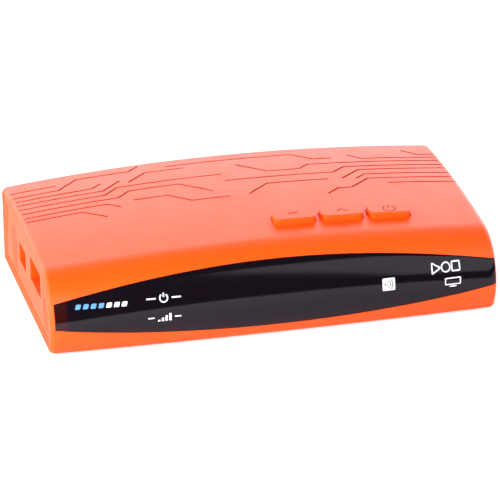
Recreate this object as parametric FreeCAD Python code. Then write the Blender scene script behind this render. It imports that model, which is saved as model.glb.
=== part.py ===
"""Satellite TV receiver: moulded two-part housing, front window, keys, boards and sockets.

Millimetres. +X right, +Y to the rear, +Z up. The origin lies on the surface the feet stand on,
under the middle of the whole receiver with its aerial socket.
"""
import FreeCAD, Part
import math
import os

V = FreeCAD.Vector
UP = V(0, 0, 1)

# --- housing ----------------------------------------------------------------------------
width = 170.0
depth = 103.0              # from the foremost point of the nose to the rear wall
crown_height = 35.4        # from the tray's underside to the top of the arch
crown_drop = 4.6           # fall of the arch from the middle to each end
crown_from_rear = 38.6     # where the top is highest, seen from the side
top_radius = 580.0         # crown of the top from front to rear
front_bow = 1.7            # how far the front curves back from the middle to each end
brow_radius = 18.0         # between the top and the front
nose_radius = 26.0         # bulge of the front
nose_height = 14.5         # of the foremost line, above the tray's underside
edge_radius = 2.5          # along the ends and the rear top edge
base_radius = 1.2          # around the underside
wall = 2.4

# --- parting line between cover and tray ------------------------------------------------
rim_height = 5.5           # of the tray's sides, above its underside
rear_flank = 10.6          # how far the tray's rear corner reaches forward at the rim
flank_lean = 4.9           # how much farther forward it reaches at its top
rear_panel_height = 27.0   # of the tray's rear wall, above its underside
seam = 0.4                 # open line between cover and tray
lip_height = 2.0           # of the tray's inner lip above the rim
lip_thickness = 1.2
lip_gap = 0.15             # between the lip and the cover
front_fold = 0.7           # how far the cover runs under the front, beyond its rounded ends

# --- feet -------------------------------------------------------------------------------
foot_proud = 1.2
foot_radius = 4.5
foot_sink = 0.8            # depth of the foot's seat in the tray
foot_inset_x = 18.0        # from the ends to the foot's middle
foot_from_rear = 15.0
foot_from_nose = 22.0

# --- engraved traces on the top ---------------------------------------------------------
trace_width = 0.9
trace_depth = 0.5
trace_margin = 1.8         # from the left end to the start of the traces

# --- grooves in the sides ---------------------------------------------------------------
flute_width = 0.8
flute_depth = 0.35
flute_pitch = 2.6
flute_count = 4
flute_foot = 1.6           # from the rim to the lower end of the grooves
flute_top = 24.0           # upper end of the grooves, above the tray's underside
rear_flutes_from_rear = 24.0
front_flutes_from_rear = 87.0
flute_margin = 4.5         # from the front and top of the side to the ends of the grooves

# --- front window -----------------------------------------------------------------------
window_thickness = 1.5
window_gap = 0.15
window_left_inset = 1.85   # from the housing's left end to the window's
window_right_inset = 0.6   # and at the right end, where the window runs into the rounded edge
window_top_middle = 28.85  # upper edge above the tray's underside, in the middle
window_top_end = 20.1      # and at each end
window_low_middle = 4.35
window_low_end = 10.95

# --- keys -------------------------------------------------------------------------------
key_names = ("minus", "up", "power")
key_width = 15.9
key_depth = 9.0
key_corner = 2.4
key_edge = 0.5
key_pitch = 18.3
key_middle_from_end = 53.5     # from the right end to the middle key
key_front_from_rear = 78.4
key_proud = 2.4
key_gap = 0.35             # between a key and its opening
key_skin = 1.5
key_pocket_inset = 2.4     # from the key's ends to its hollow
key_flange = 1.1           # reach of the retaining flange in front and behind
key_flange_thickness = 1.2
key_slack = 0.35           # between the flange and the underside of the cover
key_travel = 0.5
stem_width = 7.0
stem_depth = 3.0

# --- push switches ----------------------------------------------------------------------
switch_side = 6.0
switch_height = 3.6
plunger_radius = 1.7
plunger_proud = 1.4
plunger_clearance = 0.35

# --- main board -------------------------------------------------------------------------
board_level = 14.5         # top of the main board above the tray's underside
board_thickness = 1.6
board_side_gap = 1.4
board_rear_gap = 0.8
board_front_gap = 5.9      # between the front board and the main board's front edge
board_notch = 14.0         # square cut out of each corner for the case pillars
post_radius = 3.0
board_screw_radius = 1.3
board_screw_length = 7.0
post_inset_x = 27.0        # from the ends to the board screws
post_from_rear = 40.0
post_from_board_front = 7.0

# --- case pillars and screws ------------------------------------------------------------
pillar_radius = 3.8
pillar_inset = 8.0         # from the outer side and rear faces to the pillar's middle
pillar_from_nose = 17.0
pillar_split = 12.0        # where tray pillar and cover boss meet, above the tray's underside
pillar_gap = 0.2
case_screw_radius = 1.4
case_screw_length = 14.0
screw_head_radius = 2.6
screw_head_height = 1.6
screw_clearance = 0.25

# --- floor vents ------------------------------------------------------------------------
vent_width = 2.2
vent_length = 26.0
vent_pitch = 5.2
vent_count = 9
vent_front_from_rear = 62.0

# --- USB sockets in the left side -------------------------------------------------------
usb_width = 14.2
usb_height = 7.2
usb_length = 17.0
usb_sheet = 0.5
usb_tongue_thickness = 1.9
usb_tongue_width = 11.2
usb_tongue_setback = 1.2
usb_tongue_gap = 1.0       # from the shell's top to the tongue
usb_rear_from_rear = 44.5
usb_rear_setback = 0.5     # from the side wall to the socket's mouth
usb_rear_opening_width = 12.8
usb_rear_opening_height = 7.6
usb_front_from_rear = 71.4
usb_front_setback = 3.5
usb_front_riser = 2.5      # block that lifts the front socket off the board
usb_front_opening_width = 20.5
usb_front_opening_height = 9.2

# --- rear sockets -----------------------------------------------------------------------
panel_clearance = 0.4      # around each socket in the rear wall
socket_recess = 0.3        # from the rear face to the mouths of the flush sockets
power_jack_from_end = 23.0     # from the left end to the socket's axis
power_jack_width = 9.0
power_jack_height = 10.5
power_jack_length = 14.0
power_jack_bore = 3.1
power_jack_pin = 1.05
power_jack_bore_depth = 9.5
power_jack_pin_setback = 0.8
av_jack_from_end = 41.0
av_jack_width = 7.0
av_jack_height = 6.4
av_jack_length = 14.0
av_collar_radius = 2.9
av_jack_bore = 1.8
av_jack_depth = 13.0
hdmi_x = -20.0
hdmi_width = 15.0
hdmi_height = 5.8
hdmi_foot_width = 11.2     # width of the shell at its narrow lower side
hdmi_shoulder = 2.0        # height at which the shell starts to narrow
hdmi_length = 12.0
hdmi_sheet = 0.45
hdmi_tongue_thickness = 1.3

# --- tuner and aerial socket ------------------------------------------------------------
lnb_from_end = 33.0        # from the right end to the socket's axis
lnb_level = 5.7            # socket axis above the main board
lnb_radius = 4.76          # of the free thread outside the nut
lnb_core_radius = 4.3      # of the barrel from the nut inwards
lnb_reach = 10.0           # how far the socket stands out of the rear wall
lnb_bore = 3.2
lnb_bore_depth = 8.0
lnb_contact_radius = 1.1   # of the insulator around the spring contact
lnb_contact_setback = 1.0
lnb_inside = 2.0           # length of the barrel inside the can
lnb_nut_flats = 11.0
lnb_nut_thickness = 2.2
lnb_washer_radius = 6.3
lnb_washer_thickness = 0.6
can_width = 32.0
can_depth = 27.0
can_height = 10.8
can_sheet = 0.5
lid_sheet = 0.3
lid_skirt = 3.0

# --- parts on the main board ------------------------------------------------------------
chip_x = -4.0
chip_from_rear = 38.0
chip_side = 19.0
chip_height = 1.6
sink_side = 24.0
sink_base = 1.8
sink_height = 7.0
sink_fins = 7
fin_thickness = 1.0
memory_x = 22.0
memory_width = 9.0
memory_depth = 13.3
memory_height = 1.2
memory_gap = 1.7
flash_x = -30.0
flash_width = 8.0
flash_depth = 5.2
flash_height = 1.8
regulator_width = 6.5
regulator_depth = 3.6
regulator_height = 1.7
inductor_side = 7.0
inductor_height = 4.2
capacitor_radius = 4.0
capacitor_height = 10.5
power_row_from_rear = 24.0     # row of capacitors, inductors and regulators behind the power jack
power_row_pitch = 10.5
crystal_x = -4.0
crystal_from_rear = 60.0
crystal_width = 11.0
crystal_depth = 4.6
crystal_height = 3.5

# --- front board ------------------------------------------------------------------------
front_board_width = 116.0
front_board_height = 21.0
front_board_from_nose = 9.5    # from the foremost point of the nose to the board
front_board_lift = 0.6         # above the tray's floor
guide_width = 6.0
guide_depth = 5.0
guide_height = 6.0
guide_gap = 0.1
light_from_end = 42.4          # from the left end to the lights' axes
power_light_height = 19.8      # above the tray's underside
signal_light_height = 12.5
light_radius = 1.5
light_flange = 1.9
light_gap = 0.5                # between the lights' tips and the back of the window
light_spacer = 1.0
light_hole_gap = 0.2
receiver_from_end = 42.5       # from the right end to the receiver's middle
receiver_height_level = 16.1
receiver_width = 5.8
receiver_height = 6.8
receiver_depth = 2.8
receiver_boss = 2.3            # radius of the receiver's round front
receiver_boss_proud = 1.6
receiver_window = 6.4          # side of the square hole in front of the receiver
header_width = 12.0
header_depth = 3.4
header_height = 5.2
cable_width = 9.0
cable_thickness = 0.6
cable_rise = 3.0
cable_board_gap = 0.8      # between the cable and the main board's front edge
cable_x = 0.0

# --- levels and faces worked out from the sizes above -----------------------------------
rear_y = (depth - lnb_reach) / 2
front_y = rear_y - depth
base_z = foot_proud
floor_z = base_z + wall
rim_z = base_z + rim_height
crown_y = rear_y - crown_from_rear
board_z = base_z + board_level
inner_x = width / 2 - wall
front_lap = edge_radius + front_fold
nose_z = base_z + nose_height
key_middle_x = width / 2 - key_middle_from_end
light_x = light_from_end - width / 2
receiver_x = width / 2 - receiver_from_end
power_jack_x = power_jack_from_end - width / 2
av_jack_x = av_jack_from_end - width / 2
lnb_x = width / 2 - lnb_from_end


# --- plain shapes -----------------------------------------------------------------------
def box(x0, x1, y0, y1, z0, z1):
    return Part.makeBox(x1 - x0, y1 - y0, z1 - z0, V(x0, y0, z0))


def block_on(x, y, z, size_x, size_y, size_z):
    """Block centred on x and y that stands on level z."""
    return box(x - size_x / 2, x + size_x / 2, y - size_y / 2, y + size_y / 2, z, z + size_z)


def post(x, y, z0, z1, radius):
    return Part.makeCylinder(radius, z1 - z0, V(x, y, z0))


def rod_to_rear(x, z, y0, y1, radius):
    """Cylinder along +Y from y0 to y1."""
    return Part.makeCylinder(radius, y1 - y0, V(x, y0, z), V(0, 1, 0))


def prism(points, vector):
    """Straight prism of a closed outline, pushed along a vector."""
    outline = Part.makePolygon(points + points[:1])
    return Part.Face(outline).extrude(vector)


def rounded_prism(x, y, size_x, size_y, corner, z0, z1):
    """Upright prism with rounded corners."""
    body = block_on(x, y, z0, size_x, size_y, z1 - z0)
    uprights = [edge for edge in body.Edges if edge.BoundBox.ZLength > (z1 - z0) / 2]
    return body.makeFillet(corner, uprights)


def joined(shapes):
    return shapes[0].multiFuse(shapes[1:]).removeSplitter()


def group(shapes):
    return Part.makeCompound(shapes)


def only_solid(shape):
    return max(shape.Solids, key=lambda solid: solid.Volume)


# --- outer form of the housing ----------------------------------------------------------
def fall(x, drop):
    """Drop at x of an arc that falls by the given amount at the ends of the housing."""
    radius = ((width / 2) ** 2 + drop ** 2) / (2 * drop)
    return radius - math.sqrt(radius ** 2 - x ** 2)


def top_z(x, y):
    """Height of the outer top face."""
    crown = base_z + crown_height - fall(x, crown_drop)
    return crown - top_radius + math.sqrt(top_radius ** 2 - (y - crown_y) ** 2)


def short_arc(centre, radius, start, end):
    bisector = (start - centre) + (end - centre)
    bisector.normalize()
    return Part.Arc(start, centre + bisector * radius, end).toShape()


def inner_tangent_centre(centre_a, reach_a, centre_b, reach_b):
    """Centre of a circle at given distances from two centres, on the upper front side."""
    line = centre_b - centre_a
    length = line.Length
    along = (reach_a ** 2 - reach_b ** 2 + length ** 2) / (2 * length)
    across = math.sqrt(reach_a ** 2 - along ** 2)
    line.normalize()
    side = V(0, -line.z, line.y)
    candidates = [centre_a + line * along + side * across, centre_a + line * along - side * across]
    return max(candidates, key=lambda point: point.z - point.y)


def point_on(centre, through, radius):
    direction = through - centre
    direction.normalize()
    return centre + direction * radius


def profile_centres(x):
    """Centres of the top, brow and nose arcs at station x."""
    top = V(x, crown_y, base_z + crown_height - fall(x, crown_drop) - top_radius)
    nose = V(x, front_y + nose_radius + fall(x, front_bow), nose_z)
    brow = inner_tangent_centre(top, top_radius - brow_radius, nose, nose_radius - brow_radius)
    return top, brow, nose


def face_y(x, z, inset):
    """Depth position of the front face at a height, moved inwards by an inset."""
    top, brow, nose = profile_centres(x)
    centre, radius = nose, nose_radius
    if z > point_on(nose, brow, nose_radius).z:
        centre, radius = brow, brow_radius
    return centre.y - math.sqrt((radius - inset) ** 2 - (z - centre.z) ** 2)


def section(x, inset):
    """Side profile at station x: top, brow and nose arcs, carried on below and behind the housing."""
    overrun = edge_radius + 2
    top, brow, nose = profile_centres(x)
    top_inset, nose_inset = top_radius - inset, nose_radius - inset
    rear = rear_y + overrun
    low = base_z - overrun
    a = V(x, rear, top.z + math.sqrt(top_inset ** 2 - (rear - top.y) ** 2))
    b = point_on(top, brow, top_inset)
    c = point_on(nose, brow, nose_inset)
    d = V(x, nose.y - math.sqrt(nose_inset ** 2 - (nose.z - low) ** 2), low)
    e = V(x, rear, low)
    return Part.Wire([
        short_arc(top, top_inset, a, b),
        short_arc(brow, brow_radius - inset, b, c),
        short_arc(nose, nose_inset, c, d),
        Part.makeLine(d, e),
        Part.makeLine(e, a),
    ])


def swept(inset):
    """The profile carried along the arch over the whole width, open at the bottom and rear."""
    half = width / 2
    stations = (-half, -half / 2, 0.0, half / 2, half)
    return Part.makeLoft([section(x, inset) for x in stations], True)


def housing_block(inset):
    """The housing's form with sharp edges, every face moved inwards by the inset."""
    half = width / 2 - inset
    envelope = box(-half, half, front_y - 1, rear_y - inset, base_z + inset, base_z + crown_height + 1)
    return only_solid(swept(inset).common(envelope))


def housing_form(inset):
    """The same form with its rounded edges."""
    body = housing_block(inset)
    half = width / 2 - inset
    tiny = 0.01
    ends = [edge for edge in body.Edges
            if edge.BoundBox.XLength < tiny
            and abs(abs(edge.BoundBox.Center.x) - half) < tiny
            and edge.BoundBox.ZMax > base_z + inset + 1]
    rear_top = [edge for edge in body.Edges
                if edge.BoundBox.YMin > rear_y - inset - tiny
                and edge.BoundBox.ZMin > base_z + crown_height / 2]
    body = body.makeFillet(edge_radius - inset, ends + rear_top)
    around_base = [edge for edge in body.Edges if edge.BoundBox.ZMax < base_z + inset + tiny]
    return body.makeFillet(base_radius, around_base)


def parting_zone(grow):
    """Side view of the tray's region, run across the width; grow opens the seam."""
    far = 10.0
    left = -width / 2 - far
    points = [
        V(left, front_y - far, base_z - far),
        V(left, front_y - far, rim_z + grow),
        V(left, rear_y - rear_flank - grow, rim_z + grow),
        V(left, rear_y - rear_flank - flank_lean - grow, base_z + rear_panel_height + grow),
        V(left, rear_y + far, base_z + rear_panel_height + grow),
        V(left, rear_y + far, base_z - far),
    ]
    return prism(points, V(width + 2 * far, 0, 0))


# --- engraved traces --------------------------------------------------------------------
ALONG, RISE, FALL = 0, 1, -1
TO_RIGHT_END = None


def traces():
    """Each trace: start x, start distance from the rear, then runs of (direction, length along X).

    RISE climbs at 45 degrees towards the rear, FALL towards the front.
    """
    left = -width / 2 + trace_margin
    out = [(ALONG, TO_RIGHT_END)]
    return [
        (left, 11.6, [(ALONG, 17.8)]),
        (left, 16.95, [(ALONG, 17.7), (RISE, 8.5), (ALONG, 20.5), (RISE, 4.5)]),
        (left, 21.3, [(ALONG, 29.9), (RISE, 4.0)]),
        (left, 25.5, [(ALONG, 33.3), (RISE, 8.1)]),
        (left, 30.1, [(ALONG, 33.1), (RISE, 6.0), (ALONG, 40.8)]),
        (left, 34.7, [(ALONG, 37.4), (RISE, 5.2), (ALONG, 19.5), (FALL, 10.9)]),
        (left, 39.2, [(ALONG, 32.1), (FALL, 4.7)]),
        (left, 43.1, [(ALONG, 22.1), (FALL, 8.0)]),
        (-38.9, 20.4, [(RISE, 8.0), (ALONG, 15.0)]),
        (-21.8, 8.5, [(ALONG, 49.5), (FALL, 6.8), (ALONG, 7.6)]),
        (-41.0, 39.2, [(ALONG, 13.2), (FALL, 8.0), (ALONG, 14.8)]),
        (2.5, 47.0, [(RISE, 8.7), (ALONG, 24.2)]),
        (71.5, 8.7, [(FALL, 5.0)] + out),
        (48.7, 12.4, [(FALL, 4.9)] + out),
        (4.1, 15.2, [(FALL, 10.2), (ALONG, 12.6), (RISE, 4.2)] + out),
        (-3.7, 31.4, [(ALONG, 42.7), (RISE, 5.3)] + out),
        (40.7, 38.5, [(RISE, 8.5)] + out),
        (46.1, 39.3, [(RISE, 4.3)] + out),
        (31.8, 53.0, [(RISE, 5.1), (ALONG, 5.4), (RISE, 8.2)] + out),
        (57.1, 44.7, out),
    ]


def trace_points(start_x, from_rear, runs):
    points = [V(start_x, rear_y - from_rear, 0)]
    for direction, length in runs:
        last = points[-1]
        if length is TO_RIGHT_END:
            length = width / 2 + 1 - last.x
        points.append(last + V(length, direction * length, 0))
    return points


def stroke(points, stroke_width):
    """Closed outline of a line of constant width with mitred bends, at level 0."""
    sides = []
    for i, point in enumerate(points):
        before = point - points[i - 1] if i > 0 else points[1] - point
        after = points[i + 1] - point if i + 1 < len(points) else before
        before.normalize()
        after = V(after)
        after.normalize()
        tangent = before + after
        tangent.normalize()
        normal = V(-tangent.y, tangent.x, 0)
        mitre = stroke_width / 2 / normal.dot(V(-after.y, after.x, 0))
        sides.append((point + normal * mitre, point - normal * mitre))
    return [side[0] for side in sides] + [side[1] for side in reversed(sides)]


def trace_grooves():
    """Cutters for the traces: upright prisms less everything deeper than the groove floor."""
    height = crown_height + 2
    cutters = []
    for start_x, from_rear, runs in traces():
        outline = stroke(trace_points(start_x, from_rear, runs), trace_width)
        cutters.append(prism([point + V(0, 0, base_z) for point in outline], UP * height))
    return cutters[0].multiFuse(cutters[1:]).cut(housing_form(trace_depth))


# --- cover ------------------------------------------------------------------------------
def key_x(index):
    return key_middle_x + (index - 1) * key_pitch


key_y = rear_y - key_front_from_rear + key_depth / 2


def key_openings():
    return [rounded_prism(key_x(i), key_y, key_width + 2 * key_gap, key_depth + 2 * key_gap,
                          key_corner + key_gap, top_z(key_x(i), key_y) - 4 * wall,
                          top_z(key_x(i), key_y) + wall)
            for i in range(len(key_names))]


def usb_level(riser):
    return board_z + riser + usb_height / 2


def side_opening(from_rear, level, size_y, size_z):
    y = rear_y - from_rear
    return box(-width / 2 - 1, -inner_x + 1, y - size_y / 2, y + size_y / 2,
               level - size_z / 2, level + size_z / 2)


def side_profile(side, inset):
    """The profile at one end, run outwards through the side wall."""
    profile = Part.Face(section(side * width / 2, inset))
    profile.translate(V(-side * wall, 0, 0))
    return profile.extrude(V(side * 2 * wall, 0, 0))


def side_flutes():
    """Shallow upright grooves in both sides, ending below the rounded upper edge."""
    cutters = []
    for start in (rear_flutes_from_rear, front_flutes_from_rear):
        for i in range(flute_count):
            y = rear_y - start - i * flute_pitch
            for side in (-1, 1):
                x0 = side * (width / 2 - flute_depth)
                x1 = side * (width / 2 + 1)
                groove = box(min(x0, x1), max(x0, x1), y - flute_width / 2, y + flute_width / 2,
                             rim_z + flute_foot, base_z + flute_top)
                cutters.append(groove.common(side_profile(side, flute_margin)))
    return cutters


def window_outline(grow):
    """Eye-shaped outline of the front window, run from front to rear through the nose."""
    left = window_left_inset - width / 2 - grow
    right = width / 2 - window_right_inset + grow
    middle = (left + right) / 2
    y = front_y - 1
    top_left = V(left, y, base_z + window_top_end + grow)
    top_middle = V(middle, y, base_z + window_top_middle + grow)
    top_right = V(right, y, base_z + window_top_end + grow)
    low_left = V(left, y, base_z + window_low_end - grow)
    low_middle = V(middle, y, base_z + window_low_middle - grow)
    low_right = V(right, y, base_z + window_low_end - grow)
    outline = Part.Wire([
        Part.Arc(top_left, top_middle, top_right).toShape(),
        Part.makeLine(top_right, low_right),
        Part.Arc(low_right, low_middle, low_left).toShape(),
        Part.makeLine(low_left, top_left),
    ])
    return Part.Face(outline).extrude(V(0, nose_radius, 0))


def case_pillar_places():
    x = width / 2 - pillar_inset
    return [(side * x, y) for side in (-1, 1)
            for y in (rear_y - pillar_inset, front_y + pillar_from_nose)]


def light_places():
    return [(light_x, base_z + power_light_height), (light_x, base_z + signal_light_height)]


def windows_behind_lens():
    """Holes in the front wall for the two lights and the infrared receiver."""
    far = nose_radius / 2
    cutters = [rod_to_rear(x, z, front_y, front_y + far, light_radius + light_hole_gap)
               for x, z in light_places()]
    half = receiver_window / 2
    z = base_z + receiver_height_level
    cutters.append(box(receiver_x - half, receiver_x + half, front_y, front_y + far, z - half, z + half))
    return cutters


def cover_boss(x, y):
    split = base_z + pillar_split + pillar_gap
    boss = post(x, y, split, base_z + crown_height, pillar_radius)
    boss = boss.common(housing_block(wall / 2))
    bite = case_screw_length - (split - screw_seat_z())
    return boss.cut(post(x, y, split - 1, split + bite + 0.5, case_screw_radius - 0.2))


def top_cover():
    shell = housing_form(0).cut(housing_block(wall))
    cover = shell.cut(parting_zone(seam).common(swept(front_lap)))
    cover = only_solid(cover)
    cover = cover.fuse([cover_boss(x, y) for x, y in case_pillar_places()])
    recess = window_outline(window_gap).cut(swept(window_thickness))
    usb_rear = side_opening(usb_rear_from_rear, usb_level(0), usb_rear_opening_width, usb_rear_opening_height)
    usb_front = side_opening(usb_front_from_rear, usb_level(usb_front_riser),
                             usb_front_opening_width, usb_front_opening_height)
    cutters = [recess, usb_rear, usb_front] + key_openings() + windows_behind_lens() + side_flutes()
    cover = cover.cut(cutters)
    return only_solid(cover.cut(trace_grooves()))


def front_window():
    layer = window_outline(0).common(housing_form(0))
    return only_solid(layer.cut(swept(window_thickness)))


# --- tray -------------------------------------------------------------------------------
def screw_seat_z():
    """Level on which the heads of the case screws bear, inside the tray pillars."""
    return floor_z + 1.0


def board_post_places():
    x = width / 2 - post_inset_x
    front = main_board_front() + post_from_board_front
    return [(side * x, y) for side in (-1, 1) for y in (rear_y - post_from_rear, front)]


def foot_places():
    x = width / 2 - foot_inset_x
    return [(side * x, y) for side in (-1, 1) for y in (rear_y - foot_from_rear, front_y + foot_from_nose)]


def tray_lip():
    """Inner lip that keeps the sides of cover and tray in line, behind the front board."""
    front = front_board_y() + board_thickness + lip_thickness
    low = box(-width, width, front, rear_y, floor_z - wall / 2, rim_z)
    high = box(-width, width, front, rear_y - rear_flank - flank_lean, rim_z - lip_height / 2,
               rim_z + lip_height)
    inner = housing_block(wall + lip_thickness)
    foot = housing_block(wall).cut(inner).common(low)
    edge = housing_block(wall + lip_gap).cut(inner).common(high)
    return [foot, edge]


def front_guides():
    """Two slotted posts on the floor that hold the front board upright."""
    y = front_board_y()
    x = front_board_width / 2 - guide_width
    slot_low = y - guide_gap
    slot_high = y + board_thickness + guide_gap
    guides = []
    for side in (-1, 1):
        guide = block_on(side * x, y + board_thickness / 2, floor_z - wall / 2,
                         guide_width, guide_depth, guide_height + wall / 2)
        slot = box(side * x - guide_width, side * x + guide_width, slot_low, slot_high,
                   floor_z + front_board_lift, floor_z + guide_height + 1)
        guides.append(guide.cut(slot).common(swept(front_lap + seam)))
    return guides


def floor_vents():
    first = -(vent_count - 1) / 2 * vent_pitch
    y = rear_y - vent_front_from_rear + vent_length / 2
    return [block_on(first + i * vent_pitch, y, base_z - 1, vent_width, vent_length, wall + 2)
            for i in range(vent_count)]


def rear_cut(x, z, size_x, size_z):
    return box(x - size_x / 2, x + size_x / 2, rear_y - wall - 1, rear_y + 1, z - size_z / 2, z + size_z / 2)


def panel_cuts():
    """Openings in the rear wall, each its socket plus the clearance."""
    extra = 2 * panel_clearance
    return [
        rear_cut(power_jack_x, board_z + power_jack_height / 2,
                 power_jack_width + extra, power_jack_height + extra),
        rod_to_rear(av_jack_x, board_z + av_jack_height / 2, rear_y - wall - 1, rear_y + 1,
                    av_collar_radius + panel_clearance),
        rear_cut(hdmi_x, board_z + hdmi_height / 2, hdmi_width + extra, hdmi_height + extra),
        rod_to_rear(lnb_x, board_z + lnb_level, rear_y - wall - 1, rear_y + 1, lnb_radius + panel_clearance),
    ]


def bottom_tray():
    shell = housing_form(0).cut(housing_block(wall))
    tray = only_solid(shell.common(parting_zone(0)).common(swept(front_lap + seam)))
    posts = [post(x, y, floor_z - wall / 2, board_z - board_thickness, post_radius)
             for x, y in board_post_places()]
    pillars = [post(x, y, base_z + wall / 4, base_z + pillar_split, pillar_radius)
               for x, y in case_pillar_places()]
    tray = tray.fuse(tray_lip() + posts + pillars + front_guides())
    cutters = floor_vents() + panel_cuts()
    for x, y in board_post_places():
        cutters.append(post(x, y, floor_z, board_z, board_screw_radius - 0.2))
    for x, y in case_pillar_places():
        cutters.append(post(x, y, base_z - 1, screw_seat_z(), screw_head_radius + screw_clearance))
        cutters.append(post(x, y, base_z, base_z + crown_height, case_screw_radius + screw_clearance))
    for x, y in foot_places():
        cutters.append(post(x, y, base_z - 1, base_z + foot_sink, foot_radius + 0.1))
    return only_solid(tray.cut(cutters))


def feet():
    return group([post(x, y, 0, base_z + foot_sink, foot_radius) for x, y in foot_places()])


def screw(x, y, seat_z, length, radius, head_down):
    """Pan-head screw; the head bears on seat_z and its six-sided shank runs away from it."""
    way = 1 if head_down else -1
    turns = [math.radians(60 * i) for i in range(6)]
    points = [V(x + radius * math.cos(turn), y + radius * math.sin(turn), seat_z) for turn in turns]
    shank = prism(points, UP * way * length)
    head = Part.makeCylinder(screw_head_radius, screw_head_height, V(x, y, seat_z), UP * -way)
    return shank.fuse(head)


def case_screws():
    return group([screw(x, y, screw_seat_z(), case_screw_length, case_screw_radius - 0.2, True)
                  for x, y in case_pillar_places()])


def board_screws():
    return group([screw(x, y, board_z, board_screw_length, board_screw_radius - 0.2, False)
                  for x, y in board_post_places()])


# --- keys and switches ------------------------------------------------------------------
def key_plane(index):
    """A point on a key's top face and the face's normal, parallel to the cover beside it."""
    x = key_x(index)
    point = V(x, key_y, top_z(x, key_y) + key_proud)
    step = 1.0
    slope_x = (top_z(x + step, key_y) - top_z(x - step, key_y)) / (2 * step)
    slope_y = (top_z(x, key_y + step) - top_z(x, key_y - step)) / (2 * step)
    normal = V(-slope_x, -slope_y, 1)
    normal.normalize()
    return point, normal


def below_plane(point, normal, thickness):
    slab = box(-key_width, key_width, -key_width, key_width, -thickness, 0)
    slab.Placement = FreeCAD.Placement(point, FreeCAD.Rotation(UP, normal))
    return slab


def plunger_top_z():
    return board_z + switch_height + plunger_proud


def key(index):
    """One key: a hollow cap with rounded edges, a retaining flange and a stem down to its switch."""
    x = key_x(index)
    point, normal = key_plane(index)
    inside = point - normal * (key_proud + wall + key_slack)
    low = inside.z - key_flange_thickness - key_width * 0.05
    cap = rounded_prism(x, key_y, key_width, key_depth, key_corner, low, point.z + key_proud)
    cap = cap.common(below_plane(point, normal, 4 * wall))
    top_face = max(cap.Faces, key=lambda face: face.CenterOfMass.z)
    cap = cap.makeFillet(key_edge, top_face.Edges)
    flange = block_on(x, key_y, low, key_width - 2 * key_corner, key_depth + 2 * (key_gap + key_flange),
                      2 * wall)
    flange = flange.common(below_plane(inside, normal, 2 * key_flange_thickness))
    pocket = block_on(x, key_y, low - 1, key_width - 2 * key_pocket_inset, key_depth - 2 * key_skin,
                      point.z - low + 1)
    pocket = pocket.common(below_plane(point - normal * key_skin, normal, 6 * wall))
    stem = block_on(x, key_y, plunger_top_z(), stem_width, stem_depth,
                    point.z - key_skin / 2 - plunger_top_z() - key_proud / 2)
    return only_solid(cap.fuse(flange).cut(pocket).fuse(stem).removeSplitter())


def push_switch(index):
    body = block_on(key_x(index), key_y, board_z, switch_side, switch_side, switch_height)
    bore = post(key_x(index), key_y, board_z + 1.0, board_z + switch_height + 1,
                plunger_radius + plunger_clearance)
    return body.cut(bore)


def plunger(index):
    low = board_z + 1.0 + key_travel + plunger_clearance
    return post(key_x(index), key_y, low, plunger_top_z(), plunger_radius)


# --- boards -----------------------------------------------------------------------------
def main_board():
    reach = inner_x - board_side_gap
    rear = rear_y - wall - board_rear_gap
    front = main_board_front()
    board = box(-reach, reach, front, rear, board_z - board_thickness, board_z)
    cutters = []
    for side in (-1, 1):
        for y in (front, rear):
            cutters.append(block_on(side * reach, y, board_z - 2 * board_thickness,
                                    2 * board_notch, 2 * board_notch, 4 * board_thickness))
    for x, y in board_post_places():
        cutters.append(post(x, y, board_z - 2 * board_thickness, board_z + 1, board_screw_radius + 0.2))
    return board.cut(cutters)


def front_board_y():
    """Front face of the front board."""
    return front_y + front_board_from_nose


def main_board_front():
    return front_board_y() + board_thickness + board_front_gap


def front_board():
    y = front_board_y()
    low = floor_z + front_board_lift
    half = front_board_width / 2
    return box(-half, half, y, y + board_thickness, low, low + front_board_height)


def indicator_light(x, z):
    """Blunt-nosed light on a spacer, lying in its hole in the front wall."""
    y = front_board_y()
    tip = face_y(x, z + light_radius, window_thickness) + light_gap
    foot = rod_to_rear(x, z, y - light_spacer, y, light_flange)
    body = rod_to_rear(x, z, tip + light_radius, y - light_spacer / 2, light_radius)
    nose = Part.makeCone(light_radius, light_radius / 2, light_radius,
                         V(x, tip + light_radius, z), V(0, -1, 0))
    return joined([foot, body, nose])


def infrared_receiver():
    y = front_board_y()
    z = base_z + receiver_height_level
    body = box(receiver_x - receiver_width / 2, receiver_x + receiver_width / 2,
               y - receiver_depth, y, z - receiver_height / 2, z + receiver_height / 2)
    boss = rod_to_rear(receiver_x, z, y - receiver_depth - receiver_boss_proud, y - receiver_depth / 2,
                       receiver_boss)
    return joined([body, boss])


def cable_headers():
    """The two sockets of the flat cable: one on the main board, one on the front board."""
    main_y = main_board_front() + header_depth / 2 + 1
    on_main = block_on(cable_x, main_y, board_z, header_width, header_depth, header_height)
    rear_face = front_board_y() + board_thickness
    low = board_z - board_thickness - header_depth - 1
    on_front = box(cable_x - header_width / 2, cable_x + header_width / 2,
                   rear_face, rear_face + header_depth, low, low + header_depth)
    return group([on_main, on_front])


def front_cable():
    """Flat cable looped over the main board's edge to the front board."""
    half = cable_thickness / 2
    start_y = main_board_front() + header_depth / 2 + 1
    start_z = board_z + header_height + half
    end_y = front_board_y() + board_thickness + header_depth + half
    end_z = board_z - board_thickness - header_depth / 2 - 1
    top = start_z + cable_rise
    down_y = main_board_front() - cable_board_gap - half
    path = [V(0, start_y, start_z), V(0, start_y, top), V(0, down_y, top),
            V(0, down_y, end_z), V(0, end_y, end_z)]
    left = cable_x - cable_width / 2
    runs = [box(left, left + cable_width, min(a.y, b.y) - half, max(a.y, b.y) + half,
                min(a.z, b.z) - half, max(a.z, b.z) + half)
            for a, b in zip(path, path[1:])]
    return joined(runs)


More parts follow.
